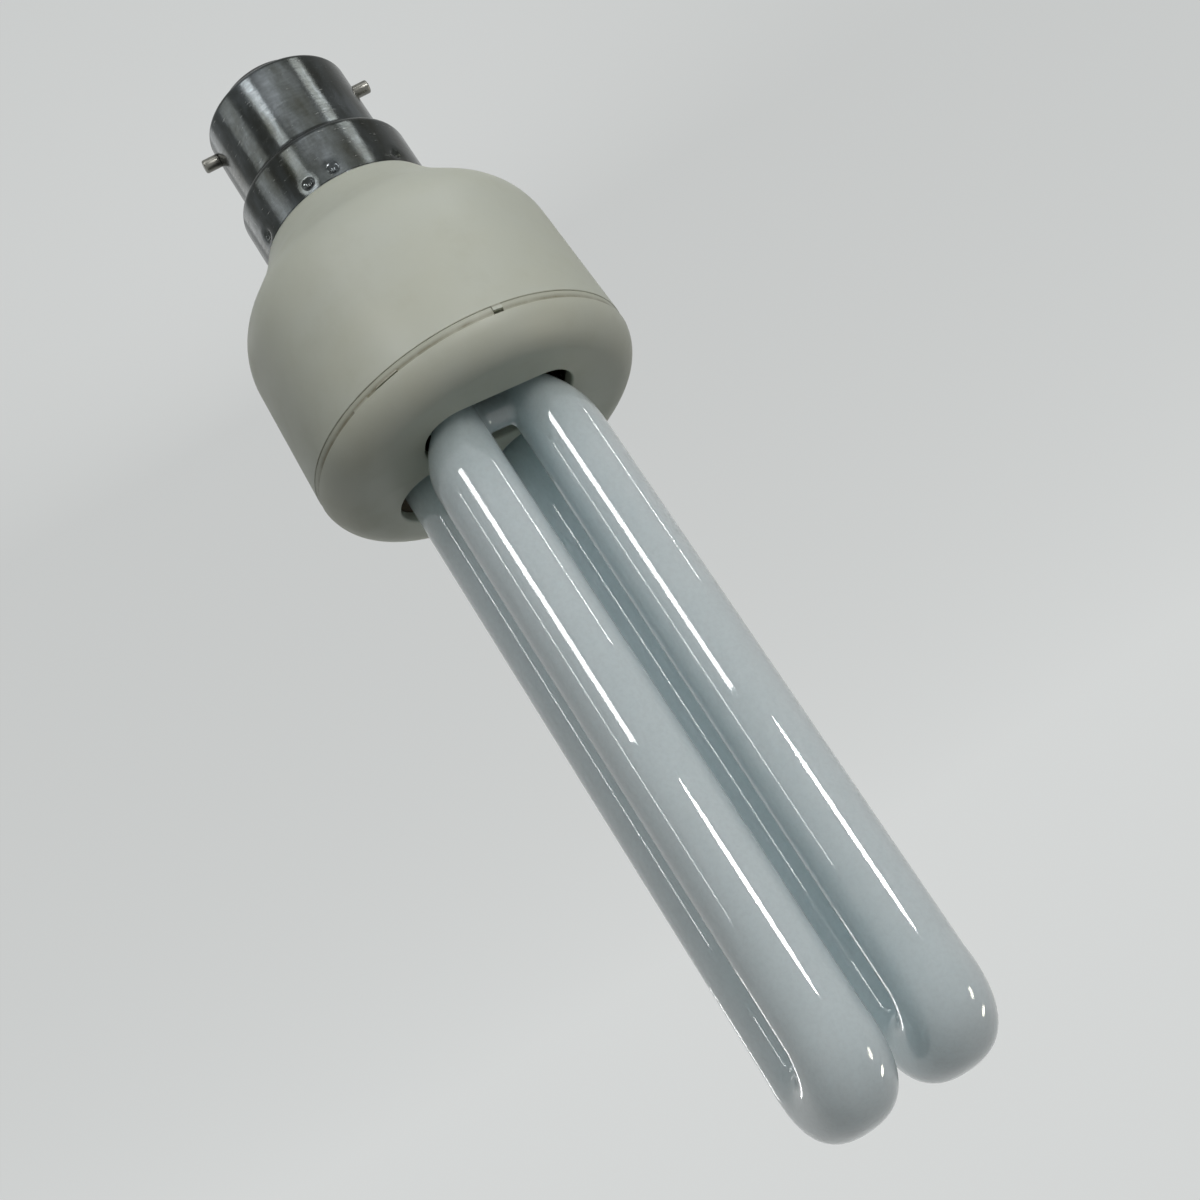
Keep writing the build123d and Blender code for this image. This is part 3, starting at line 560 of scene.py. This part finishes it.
def times(tree, first, second):
    """The product of an amount and another amount or a number."""
    product = tree.nodes.new("ShaderNodeMath")
    product.operation = "MULTIPLY"
    tree.links.new(first, product.inputs[0])
    if isinstance(second, bpy.types.NodeSocket):
        tree.links.new(second, product.inputs[1])
    else:
        product.inputs[1].default_value = second
    return product.outputs["Value"]


def moulded_plastic(name, pale, warm, darkening_levels):
    """Satin moulded plastic with faint ageing, a fine mould grain, small specks and patchy darkening.

    A level of darkening is a height and how far the darkening reaches from it, in millimetres.
    On the cover the darkening is painted shade in the seam band.
    """
    material, tree, shader = new_finish(name)
    ageing = speckle(tree, 38, stretch=(1, 1, 1.6), detail=3.0)
    grain = speckle(tree, 5200, detail=3.0)
    handling = speckle(tree, 130, detail=7.0, roughness=0.65)
    specks = speckle(tree, 420, detail=1.0)
    colour = shades(tree, ageing, (0.3, pale), (0.72, warm))
    smudges = shades(tree, handling, (0.52, grey(1)), (0.78, SMUDGE))
    colour = over(tree, "MULTIPLY", 1.0, colour, smudges)
    spots = shades(tree, specks, (0.85, grey(1)), (0.9, SPECK))
    colour = over(tree, "MULTIPLY", 1.0, colour, spots)
    patchy = spread(tree, handling, 0.25, 1.0, start=0.35, stop=0.6)
    for level, reach in darkening_levels:
        darkened = times(tree, near_level(tree, level, reach), patchy)
        colour = over(tree, "MULTIPLY", darkened, colour, DARKENING)
    tree.links.new(colour, shader.inputs["Base Color"])
    tree.links.new(spread(tree, handling, 0.40, 0.56, start=0.3, stop=0.7), shader.inputs["Roughness"])
    flow = relief(tree, ageing, depth=0.0005, strength=0.05)
    grained = relief(tree, grain, depth=0.00001, strength=0.30, under=flow)
    tree.links.new(grained, shader.inputs["Normal"])
    return material


housing_pale = paint(205, 209, 197)
housing_warm = paint(203, 205, 188)
# The housing is darker just above the seam and just past the cap's edge.
housing_darkening = ((SEAM_Z + 0.05, 0.2), (SKIRT_TOP, 0.5))
housing_plastic = moulded_plastic("housing_satin_plastic", housing_pale, housing_warm, housing_darkening)
housing.data.materials.append(housing_plastic)
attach(housing, "root")
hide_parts("upper_housing")


# Lower cover
# The second moulding, in the same plastic: a flat face with a well rounded edge, a narrow sloped band at the
# seam and a spigot that snaps into the body. A slot lets the bridged legs through, and two holes the others.

COVER_STEPS = 224
BAND_R = 23.47
BAND_TOP = 62.9
COVER_FACE = 67.4
COVER_INSIDE = 65.6
COVER_ROUND = 5.2
ROUND_START = 9
SPIGOT_R = 22.1
SPIGOT_BORE = 20.4
SPIGOT_END = 56.3
LUG_ANGLES = (45, 135, 225, 315)
LUG_SPAN = 16
LUG_R = 22.6
LUG_LOW = 58.1
LUG_HIGH = 59.3
BAND_EDGE = 0.08
NOTCH_R = 23.02
NOTCH_SPAN = 3.4
NOTCH_WALL = 0.04
KEY_ANGLE = 308.7
KEY_SPAN = 6.6
KEY_LOW = 62.35
KEY_ROOT = 0.2
BAR_ANGLE = 297
BAR_SPAN = 8.6
BAR_LOW = 62.42
BAR_HIGH = 62.74
BUNDLE_TURN = -9
SLOT_MIDDLE = (-0.45, -6.9)
SLOT_HALF = (11.0, 5.6)
SLOT_CORNER = 5.0
SLOT_CORNER_STEPS = 20
LEG_X = 7.25
LEG_Y = 6.45
HOLE_SPOTS = ((-LEG_X, LEG_Y), (LEG_X, LEG_Y))
HOLE_R = 6.6
HOLE_STEPS = 80
OPENING_EDGE = 0.4
INNER_EDGE = 0.15


def bundle(point):
    """Turn a point from the tube bundle's own directions to the lamp's."""
    turn = radians(BUNDLE_TURN)
    x, y, z = point
    return (x * cos(turn) - y * sin(turn), x * sin(turn) + y * cos(turn), z)


def slot_ring(grow, z):
    """The slot's outline, grown all round by an amount."""
    reach = (SLOT_HALF[0] - SLOT_CORNER, SLOT_HALF[1] - SLOT_CORNER)
    ring = []
    for quarter, (across, along) in enumerate(((1, 1), (-1, 1), (-1, -1), (1, -1))):
        centre = (SLOT_MIDDLE[0] + across * reach[0], SLOT_MIDDLE[1] + along * reach[1])
        for x, y in arc(centre, SLOT_CORNER + grow, 90 * quarter, 90 * quarter + 90, SLOT_CORNER_STEPS):
            ring.append(bundle((x, y, z)))
    return ring


def hole_ring(spot):
    """A function like slot_ring for a round hole at a spot."""
    return lambda grow, z: [bundle(point) for point in circle(HOLE_R + grow, *spot, z, HOLE_STEPS)]


notch_start, notch_stop = TAB_ANGLE - NOTCH_SPAN / 2, TAB_ANGLE + NOTCH_SPAN / 2
cover_angles = [360 * step / COVER_STEPS for step in range(COVER_STEPS)]
cover_angles += [notch_start - NOTCH_WALL, notch_start, notch_stop, notch_stop + NOTCH_WALL]
cover_angles.sort()


def cover_ring(radius, z, notched=False):
    """A ring of the cover; a ring of the band is let in where the housing's tab enters it."""
    ring = []
    for angle in cover_angles:
        let_in = notched and notch_start <= angle <= notch_stop
        reach = NOTCH_R if let_in else radius
        ring.append((reach * cos(radians(angle)), reach * sin(radians(angle)), z))
    return ring


edge_rise = BAND_TOP - (COVER_FACE - COVER_ROUND)
edge_centre = (BODY_R - sqrt(COVER_ROUND**2 - edge_rise**2), COVER_FACE - COVER_ROUND)
spigot_line = [(SPIGOT_BORE, COVER_INSIDE), (SPIGOT_BORE, SPIGOT_END)]
spigot_line += [(SPIGOT_R, SPIGOT_END), (SPIGOT_R, SEAM_Z)]
band_line = [(BODY_R - 2 * BAND_EDGE, SEAM_Z), (BODY_R - BAND_EDGE, SEAM_Z + BAND_EDGE), (BAND_R, BAND_TOP)]
edge_line = [(BODY_R - 2 * BAND_EDGE, BAND_TOP), (BODY_R - BAND_EDGE, BAND_TOP + BAND_EDGE / 3)]
edge_line += arc(edge_centre, COVER_ROUND, ROUND_START, 90, steps=27)
cover_points, cover_faces = [], []
cover_rings = [add_ring(cover_points, cover_ring(r, z)) for r, z in spigot_line]
cover_rings += [add_ring(cover_points, cover_ring(r, z, notched=True)) for r, z in band_line]
cover_rings += [add_ring(cover_points, cover_ring(r, z)) for r, z in edge_line]
for ring, following_ring in zip(cover_rings, cover_rings[1:]):
    cover_faces += band(ring, following_ring)
face_openings, inside_openings = [], []
for opening in (slot_ring, *[hole_ring(spot) for spot in HOLE_SPOTS]):
    rounded = arc((0, COVER_FACE - OPENING_EDGE), OPENING_EDGE, 90, 0, steps=6)
    wall = [(OPENING_EDGE - x, z) for x, z in rounded]
    wall += [(0.0, COVER_INSIDE + INNER_EDGE), (INNER_EDGE, COVER_INSIDE)]
    rings = [add_ring(cover_points, opening(grow, z)) for grow, z in wall]
    for ring, following_ring in zip(rings, rings[1:]):
        cover_faces += band(ring, following_ring)
    face_openings.append(rings[0])
    inside_openings.append(rings[-1])
cover_faces += pierced_face(cover_points, cover_rings[-1], face_openings)
cover_faces += pierced_face(cover_points, cover_rings[0], inside_openings)
lug_section = soft_section(SPIGOT_R - SOFT_EDGE, LUG_R, LUG_LOW, LUG_HIGH)
for angle in LUG_ANGLES:
    ring_block(cover_points, cover_faces, lug_section, angle, LUG_SPAN)
key_section = bent_line([
    (BAND_R - SOFT_EDGE, KEY_LOW, 0), (BODY_R - SOFT_EDGE / 2, KEY_LOW, SOFT_EDGE),
    (BODY_R - SOFT_EDGE / 2, BAND_TOP, 0), (BODY_R - SOFT_EDGE, BAND_TOP + KEY_ROOT, 0),
    (BAND_R - SOFT_EDGE, BAND_TOP + KEY_ROOT, 0),
], closed=True)
ring_block(cover_points, cover_faces, key_section, KEY_ANGLE, KEY_SPAN)
bar_section = soft_section(BAND_R - SOFT_EDGE, BODY_R - SOFT_EDGE, BAR_LOW, BAR_HIGH)
ring_block(cover_points, cover_faces, bar_section, BAR_ANGLE, BAR_SPAN)
cover = make_piece("lower_cover_moulded", cover_points, cover_faces)

cover_pale = paint(202, 205, 192)
cover_warm = paint(199, 199, 180)
# The cover is darker in its sloped seam band, deepest just under its rim: painted shade of that recess, made
# patchy.
cover_painted_shade = ((BAND_TOP - 0.4, 0.45),)
cover_plastic = moulded_plastic("cover_satin_plastic", cover_pale, cover_warm, cover_painted_shade)
cover.data.materials.append(cover_plastic)
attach(cover, "root")
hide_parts("lower_cover")


# Discharge tube
# Two U tubes of clear glass, coated inside with white phosphor powder, and joined near the cover by a short
# bridge that was blown through while the glass was soft. The two other legs end in pinched electrode seals.

TUBE_R = 5.15
TUBE_TOP = 168.2
LEG_SWELL = 0.12
LEG_SHARES = (0.1, 0.3, 0.5, 0.7, 0.9)
BEND_POWER = 2.3
BEND_WIDEN = 0.4
BEND_SECTION = 2.4
BEND_STEPS = 60
CLOSED_START = 74.4
CLOSED_DEPTH = 10.2
CLOSED_DRAFT = 14.0
CLOSED_STEPS = 30
CLOSED_END_STEPS = 9
SEAL_RINGS = (
    (58.4, 4.0, 1.2, 5), (58.6, 4.3, 1.5, 6), (60.3, 4.3, 1.5, 6), (61.1, 4.5, 2.3, 4),
    (61.8, 4.9, 3.9, 2.6), (62.4, 5.1, 4.9, 2.1), (63.0, TUBE_R, TUBE_R, 2),
)
BRIDGE_HALF_Y = 1.9
BRIDGE_HALF_Z = 2.75
BRIDGE_Z = 66.0
BRIDGE_FLARE = 1.0
BRIDGE_FLARE_STEPS = 12
BRIDGE_TUCK = 0.3
BRIDGE_WRAP = 0.96
GLASS_STEPS = 88
GLASS_CREASE = 40
COAT_FADE = (COVER_FACE - 1, COVER_FACE + 13)


def oval(half_x, half_y, power, x, y, z):
    """A ring between an ellipse and a rounded rectangle."""
    ring = []
    for step in range(GLASS_STEPS):
        angle = 2 * pi * step / GLASS_STEPS
        across, along = cos(angle), sin(angle)
        ring.append((
            x + half_x * (abs(across) ** (2 / power)) * (1 if across > 0 else -1),
            y + half_y * (abs(along) ** (2 / power)) * (1 if along > 0 else -1),
            z,
        ))
    return ring


def closed_radius(z):
    """Radius of a bridged leg at a height: its outer wall curves in on a wide arc below a level."""
    depth = min(CLOSED_DEPTH, max(0.0, CLOSED_START - z))
    outer_arc = LEG_X + TUBE_R
    return TUBE_R - (outer_arc - sqrt(outer_arc**2 - depth**2)) / 2


def closed_depth(z):
    """Half the bridged leg's width from front to back, which stays almost full to its end."""
    depth = min(CLOSED_DEPTH, max(0.0, CLOSED_START - z))
    return TUBE_R * sqrt(1 - (depth / CLOSED_DRAFT) ** 4)


def u_tube(side):
    """Rings of one U tube from its electrode seal, over the full bend and down to its closed end."""
    x = side * LEG_X
    swollen = TUBE_R + LEG_SWELL
    bend_z = TUBE_TOP - LEG_Y - swollen
    rings = [oval(half_x, half_y, power, x, LEG_Y, z) for z, half_x, half_y, power in SEAL_RINGS]
    for share in LEG_SHARES:
        radius = TUBE_R + LEG_SWELL * share
        rings.append(oval(radius, radius, 2, x, LEG_Y, SEAL_RINGS[-1][0] * (1 - share) + bend_z * share))
    for step in range(BEND_STEPS + 1):
        angle = pi * step / BEND_STEPS
        along, rise = cos(angle), sin(angle)
        fullness = (abs(along) ** BEND_POWER + rise**BEND_POWER) ** (1 / BEND_POWER)
        outer, inner = (LEG_Y + swollen) / fullness, LEG_Y - swollen
        middle, half = (outer + inner) / 2, (outer - inner) / 2
        section = oval(swollen + BEND_WIDEN * rise, half, 2 + (BEND_SECTION - 2) * rise, x, middle, 0)
        rings.append([(px, py * along, bend_z + py * rise) for px, py, _ in section])
    for share in LEG_SHARES:
        radius = TUBE_R + LEG_SWELL * (1 - share)
        level = bend_z * (1 - share) + CLOSED_START * share
        rings.append([(px, -LEG_Y - py, level) for px, py, _ in oval(radius, radius, 2, x, 0, 0)])
    for step in range(CLOSED_STEPS + 1):
        level = CLOSED_START - CLOSED_DEPTH * step / CLOSED_STEPS
        radius = closed_radius(level)
        middle = side * (LEG_X - TUBE_R + radius)
        half_y = closed_depth(level)
        rings.append([(px, -LEG_Y - py, level) for px, py, _ in oval(radius, half_y, 2, middle, 0, 0)])
    for step in range(1, CLOSED_END_STEPS):
        angle = pi / 2 * step / CLOSED_END_STEPS
        height = level - radius * sin(angle)
        shrink = cos(angle)
        end_ring = oval(radius * shrink, half_y * shrink, 2, middle, 0, 0)
        rings.append([(px, -LEG_Y - py, height) for px, py, _ in end_ring])
    return rings


def bridge_rings():
    """Rings of the bridge between the legs, flared at both ends to run into their walls."""
    flared = []
    for step in range(BRIDGE_FLARE_STEPS + 1):
        angle = pi / 2 * step / BRIDGE_FLARE_STEPS
        flared.append((BRIDGE_FLARE * (1 - cos(angle)), BRIDGE_FLARE * (1 - sin(angle))))
    flared.append((BRIDGE_FLARE, -BRIDGE_TUCK))
    rings = []
    for side, lip in ((-1, flared[::-1]), (1, flared)):
        for grow, gap in lip:
            ring = []
            for step in range(GLASS_STEPS):
                angle = 2 * pi * step / GLASS_STEPS
                y = (BRIDGE_HALF_Y + grow) * cos(angle)
                z = BRIDGE_Z + (BRIDGE_HALF_Z + grow) * sin(angle)
                bulge = min(BRIDGE_WRAP, abs(y) / closed_depth(z))
                wall = LEG_X - TUBE_R + closed_radius(z) * (1 - sqrt(1 - bulge**2))
                ring.append((side * (wall - gap), -LEG_Y + y, z))
            rings.append(ring)
    return rings


def glass_skin(name, *lengths):
    """A piece of closed lengths of tube, each given by its rings."""
    points, faces = [], []
    for length in lengths:
        rings = [add_ring(points, [bundle(point) for point in ring]) for ring in length]
        for ring, following_ring in zip(rings, rings[1:]):
            faces += band(ring, following_ring)
        faces.append(tuple(rings[0]))
        faces.append(tuple(rings[-1]))
    return make_piece(name, points, faces, GLASS_CREASE)


tube = glass_skin("discharge_tube_blown", u_tube(-1), u_tube(1))
bridge = glass_skin("bridge", bridge_rings())
fusing = tube.modifiers.new("fused", "BOOLEAN")
fusing.operation = "UNION"
fusing.solver = "EXACT"
fusing.object = bridge
fused = bpy.data.meshes.new_from_object(tube.evaluated_get(bpy.context.evaluated_depsgraph_get()))
tube.modifiers.clear()
tube.data = fused
tube.data.shade_smooth()
tube.data.set_sharp_from_angle(angle=radians(GLASS_CREASE))
bpy.data.objects.remove(bridge)

coated_glass, tree, shader = new_finish("phosphor_coated_glass")
powder = speckle(tree, 1800, detail=6.0)
drift = speckle(tree, 45, stretch=(1, 1, 0.4), detail=4.0)
coat_colour = shades(tree, drift, (0.32, paint(205, 219, 223)), (0.68, paint(213, 226, 229)))
fine = shades(tree, powder, (0.3, grey(0.94)), (0.6, grey(1)))
coat_colour = over(tree, "MULTIPLY", 1.0, coat_colour, fine)
base_end = spread(tree, along_axis(tree), 0.55, 0.0, start=COAT_FADE[0] * MM, stop=COAT_FADE[1] * MM)
coat_colour = over(tree, "MULTIPLY", base_end, coat_colour, paint(206, 212, 208))
tree.links.new(coat_colour, shader.inputs["Base Color"])
shader.inputs["Subsurface Weight"].default_value = 1.0
shader.inputs["Subsurface Radius"].default_value = (1.0, 1.0, 1.0)
shader.inputs["Subsurface Scale"].default_value = 0.02
shader.inputs["Roughness"].default_value = 0.75
shader.inputs["Specular IOR Level"].default_value = 0.1
shader.inputs["Coat Weight"].default_value = 1.0
shader.inputs["Coat Roughness"].default_value = 0.025
shader.inputs["Coat IOR"].default_value = 1.7
waviness = speckle(tree, 60, stretch=(1, 1, 0.3), detail=0.0)
tree.links.new(relief(tree, waviness, depth=0.0004, strength=0.006), shader.inputs["Coat Normal"])
tree.links.new(relief(tree, powder, depth=0.00002, strength=0.35), shader.inputs["Normal"])

tube.data.materials.append(coated_glass)
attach(tube, "root")
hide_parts("discharge_tube")


# Cement collars
# Brown capping cement, put round the two electrode legs behind the cover as a paste and baked hard.
# It holds the tube in the cover, and needs no more shape than its CAD nodes have.


def dress(nodes, finish):
    """Give a finish to nodes that keep their CAD shape."""
    for node in nodes:
        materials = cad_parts[node].data.materials
        materials.clear()
        materials.append(finish)


cement, tree, shader = new_finish("baked_cement")
lumps = speckle(tree, 1400, detail=9.0, roughness=0.7)
cement_tint = shades(tree, lumps, (0.3, paint(58, 51, 38)), (0.7, paint(84, 74, 56)))
tree.links.new(cement_tint, shader.inputs["Base Color"])
shader.inputs["Roughness"].default_value = 0.9
tree.links.new(relief(tree, lumps, depth=0.0003, strength=0.6), shader.inputs["Normal"])
dress(("tube_cement_right", "tube_cement_left"), cement)


# Ballast
# The board of brown paper laminate and the parts soldered to it: choke, toroid, transistors, capacitors,
# rectifier, fuse and wires. They are shut in the housing, and only the board shows, past the legs.

ROUGHNESS_SPREAD = 0.08


def ballast_finish(name, dark, pale, scale, rough, metallic=0.0, depth=0.00003, stretch=(1, 1, 1)):
    """A finish in two near tones with its own grain."""
    material, tree, shader = new_finish(name)
    grain = speckle(tree, scale, stretch, detail=6.0)
    tree.links.new(shades(tree, grain, (0.3, dark), (0.7, pale)), shader.inputs["Base Color"])
    uneven = spread(tree, grain, rough - ROUGHNESS_SPREAD, rough + ROUGHNESS_SPREAD, start=0.3, stop=0.7)
    tree.links.new(uneven, shader.inputs["Roughness"])
    shader.inputs["Metallic"].default_value = metallic
    tree.links.new(relief(tree, grain, depth, strength=0.4), shader.inputs["Normal"])
    return material


laminate = ballast_finish("paper_laminate", paint(126, 98, 52), paint(164, 132, 76), 900, 0.6)
tinned = ballast_finish("tinned_wire", paint(168, 168, 166), paint(204, 204, 200), 2200, 0.32, metallic=1.0)
fuse_paint = ballast_finish("fuse_lacquer", paint(52, 96, 62), paint(70, 120, 78), 1500, 0.45)
ferrite = ballast_finish("sintered_ferrite", paint(44, 43, 44), paint(66, 64, 64), 2600, 0.7)
bobbin_nylon = ballast_finish("bobbin_nylon", paint(196, 190, 170), paint(216, 211, 194), 800, 0.5)
copper = ballast_finish(
    "enamelled_copper", paint(150, 74, 38), paint(190, 104, 58), 2400, 0.3,
    metallic=1.0, depth=0.00006, stretch=(1, 1, 8),
)
can_film = ballast_finish("can_sleeve_film", paint(30, 36, 62), paint(44, 52, 84), 700, 0.35)
dipped = ballast_finish("dipped_resin", paint(140, 58, 34), paint(168, 76, 46), 900, 0.4)
epoxy = ballast_finish("moulded_epoxy", paint(34, 34, 35), paint(50, 50, 51), 2800, 0.6)
diode_epoxy = ballast_finish("diode_epoxy", paint(28, 28, 29), paint(46, 46, 47), 2800, 0.5)
resistor_paint = ballast_finish("resistor_lacquer", paint(188, 160, 116), paint(210, 184, 140), 1200, 0.5)

ballast_parts = {
    laminate: ("circuit_board",),
    tinned: (
        "neutral_lead", "live_lead", "wrap_pin_1", "wrap_pin_2", "wrap_pin_3", "wrap_pin_4",
        "filament_lead_1", "filament_lead_2", "filament_lead_3", "filament_lead_4",
    ),
    fuse_paint: ("fuse_resistor",),
    ferrite: ("choke_core_upper", "choke_core_lower", "toroid_core", "filter_inductor"),
    bobbin_nylon: ("choke_bobbin",),
    copper: ("choke_winding", "toroid_winding_1", "toroid_winding_2", "toroid_winding_3"),
    can_film: ("electrolytic_capacitor",),
    dipped: ("resonant_capacitor", "coupling_capacitor"),
    epoxy: ("transistor_1", "transistor_2"),
    diode_epoxy: ("diac", "rectifier_diode_1", "rectifier_diode_2", "rectifier_diode_3", "rectifier_diode_4"),
    resistor_paint: ("resistor_1", "resistor_2"),
}
for finish, nodes in ballast_parts.items():
    dress(nodes, finish)


# Floor, light and camera
# A pale floor runs out to a backdrop of the same tone, and the room gives a weak even fill. Soft lights stand
# low in front, under, behind and beside the object. Others light nothing and are only mirrored: one in the
# glass, five in the cap's metal, and two warm windows at the tips of the tube.

FLOOR_Z = -0.32
FLOOR_HALF = 4.0
FLOOR_FADE = (0.4, 2.5)
FLOOR_GLOW = (0.8, 1.0)
BACKDROP = (0.66, 0.675, 0.67)
FILL = 0.19
FAR = 0.7
NEAR = 0.38
CAP_AIM = 0.012
TIP_AIM = 0.161
WINDOW_TINT = (1, 0.95, 0.78)
SENSOR = 36
LENS = 60
CAMERA_SPOT = (0.044466, -0.239043, 0.183953)
CAMERA_RIGHT = (-0.8584, 0.0305, 0.512)
CAMERA_FORWARD = (-0.1737, 0.9219, -0.3462)


def seen_rays(tree):
    """One for rays from the camera and for what gloss and glass show of the room."""
    path = tree.nodes.new("ShaderNodeLightPath")
    most = path.outputs["Is Camera Ray"]
    for name in ("Is Glossy Ray", "Is Transmission Ray"):
        larger = tree.nodes.new("ShaderNodeMath")
        larger.operation = "MAXIMUM"
        tree.links.new(most, larger.inputs[0])
        tree.links.new(path.outputs[name], larger.inputs[1])
        most = larger.outputs["Value"]
    return most


floor_mesh = bpy.data.meshes.new("floor")
floor_corners = [(x * FLOOR_HALF, y * FLOOR_HALF, FLOOR_Z) for x, y in ((-1, -1), (1, -1), (1, 1), (-1, 1))]
floor_mesh.from_pydata(floor_corners, [], [(0, 1, 2, 3)])
floor = bpy.data.objects.new("floor", floor_mesh)
bpy.context.scene.collection.objects.link(floor)
floor_paint, tree, shader = new_finish("pale_floor")
shader.inputs["Base Color"].default_value = (*BACKDROP, 1)
shader.inputs["Roughness"].default_value = 0.9
glow = tree.nodes.new("ShaderNodeEmission")
glow.inputs["Color"].default_value = (*BACKDROP, 1)
blend = tree.nodes.new("ShaderNodeMixShader")
place = tree.nodes.new("ShaderNodeTexCoord")
distance = tree.nodes.new("ShaderNodeVectorMath")
distance.operation = "LENGTH"
tree.links.new(place.outputs["Object"], distance.inputs[0])
fade = spread(tree, distance.outputs["Value"], *FLOOR_GLOW, *FLOOR_FADE)
tree.links.new(times(tree, seen_rays(tree), fade), blend.inputs["Fac"])
tree.links.new(shader.outputs["BSDF"], blend.inputs[1])
tree.links.new(glow.outputs["Emission"], blend.inputs[2])
tree.links.new(blend.outputs["Shader"], tree.nodes["Material Output"].inputs["Surface"])
floor_mesh.materials.append(floor_paint)

room = bpy.data.worlds.new("room")
bpy.context.scene.world = room
room.use_nodes = True
tree = room.node_tree
even = tree.nodes["Background"]
even.inputs["Color"].default_value = (*BACKDROP, 1)
tree.links.new(spread(tree, seen_rays(tree), FILL, 1.0), even.inputs["Strength"])


def soft_light(
    name, azimuth, elevation, aim_z, away, width, height, watts,
    shape="ELLIPSE", mirrored=True, lights=True, tint=(1, 1, 1),
):
    """A soft light, placed and turned towards a point on the lamp's axis.

    The azimuth from the front and the elevation, in degrees, are as seen from that point. The light shows in
    gloss where mirrored is true, and falls on what is matt where lights is true.
    """
    light = bpy.data.lights.new(name, "AREA")
    light.shape = shape
    light.size = width
    light.size_y = height
    light.energy = watts
    light.color = tint
    holder = bpy.data.objects.new(name, light)
    flat = away * cos(radians(elevation))
    lift = away * sin(radians(elevation))
    spot = Vector((flat * sin(radians(azimuth)), -flat * cos(radians(azimuth)), aim_z + lift))
    holder.location = spot
    holder.rotation_euler = (spot - Vector((0, 0, aim_z))).to_track_quat("Z", "Y").to_euler()
    holder.visible_camera = False
    holder.visible_glossy = mirrored
    holder.visible_diffuse = lights
    bpy.context.scene.collection.objects.link(holder)


soft_light("lamp_low_right", 26.5, -21, 0.095, FAR, 0.15, 0.16, 0.95, "RECTANGLE", lights=False)
soft_light("lamp_low_left", -21.5, -11, 0.138, FAR, 0.13, 0.12, 1.6)
soft_light("lamp_under", 0, -29, 0.06, 0.6, 0.42, 0.16, 0.38, mirrored=False)
soft_light("lamp_back", 187, -10, 0.11, FAR, 0.3, 0.3, 2.0, mirrored=False)
soft_light("strip_right", 65, -17.3, 0.105, FAR, 0.03, 0.24, 0.17, "RECTANGLE")
soft_light("strip_left", -74, -22.1, 0.085, FAR, 0.03, 0.11, 0.12, "RECTANGLE")
soft_light("cap_strip_right", 27, -36.5, CAP_AIM, NEAR, 0.09, 0.08, 0.14, lights=False)
soft_light("cap_glow", -14, -37.5, 0.02, NEAR, 0.36, 0.09, 0.17, lights=False)
soft_light("cap_strip_left", -55, -36.2, CAP_AIM, NEAR, 0.09, 0.08, 0.15, lights=False)
soft_light("cap_glow_right", 74, -36.2, CAP_AIM, NEAR, 0.15, 0.09, 0.09, lights=False)
soft_light("cap_edge_right", 135, -35, CAP_AIM, NEAR, 0.14, 0.1, 0.04, lights=False)
soft_light("rim_back", 160, -8.5, 0.158, FAR, 0.05, 0.05, 0.03)
soft_light("window_low", -60, 28.5, TIP_AIM, FAR, 0.1, 0.17, 0.52, lights=False, tint=WINDOW_TINT)
soft_light("window_high", -91, 42, TIP_AIM, FAR, 0.1, 0.17, 0.52, lights=False, tint=WINDOW_TINT)

camera_data = bpy.data.cameras.new("camera")
camera_data.sensor_width = SENSOR
camera_data.lens = LENS
camera = bpy.data.objects.new("camera", camera_data)
right = Vector(CAMERA_RIGHT).normalized()
forward = Vector(CAMERA_FORWARD)
forward = (forward - right * forward.dot(right)).normalized()
up = right.cross(forward)
turn = Matrix((right, up, -forward)).transposed()
camera.matrix_world = Matrix.Translation(CAMERA_SPOT) @ turn.to_4x4()
bpy.context.scene.collection.objects.link(camera)
bpy.context.scene.camera = camera
bpy.context.scene.view_settings.view_transform = "Standard"
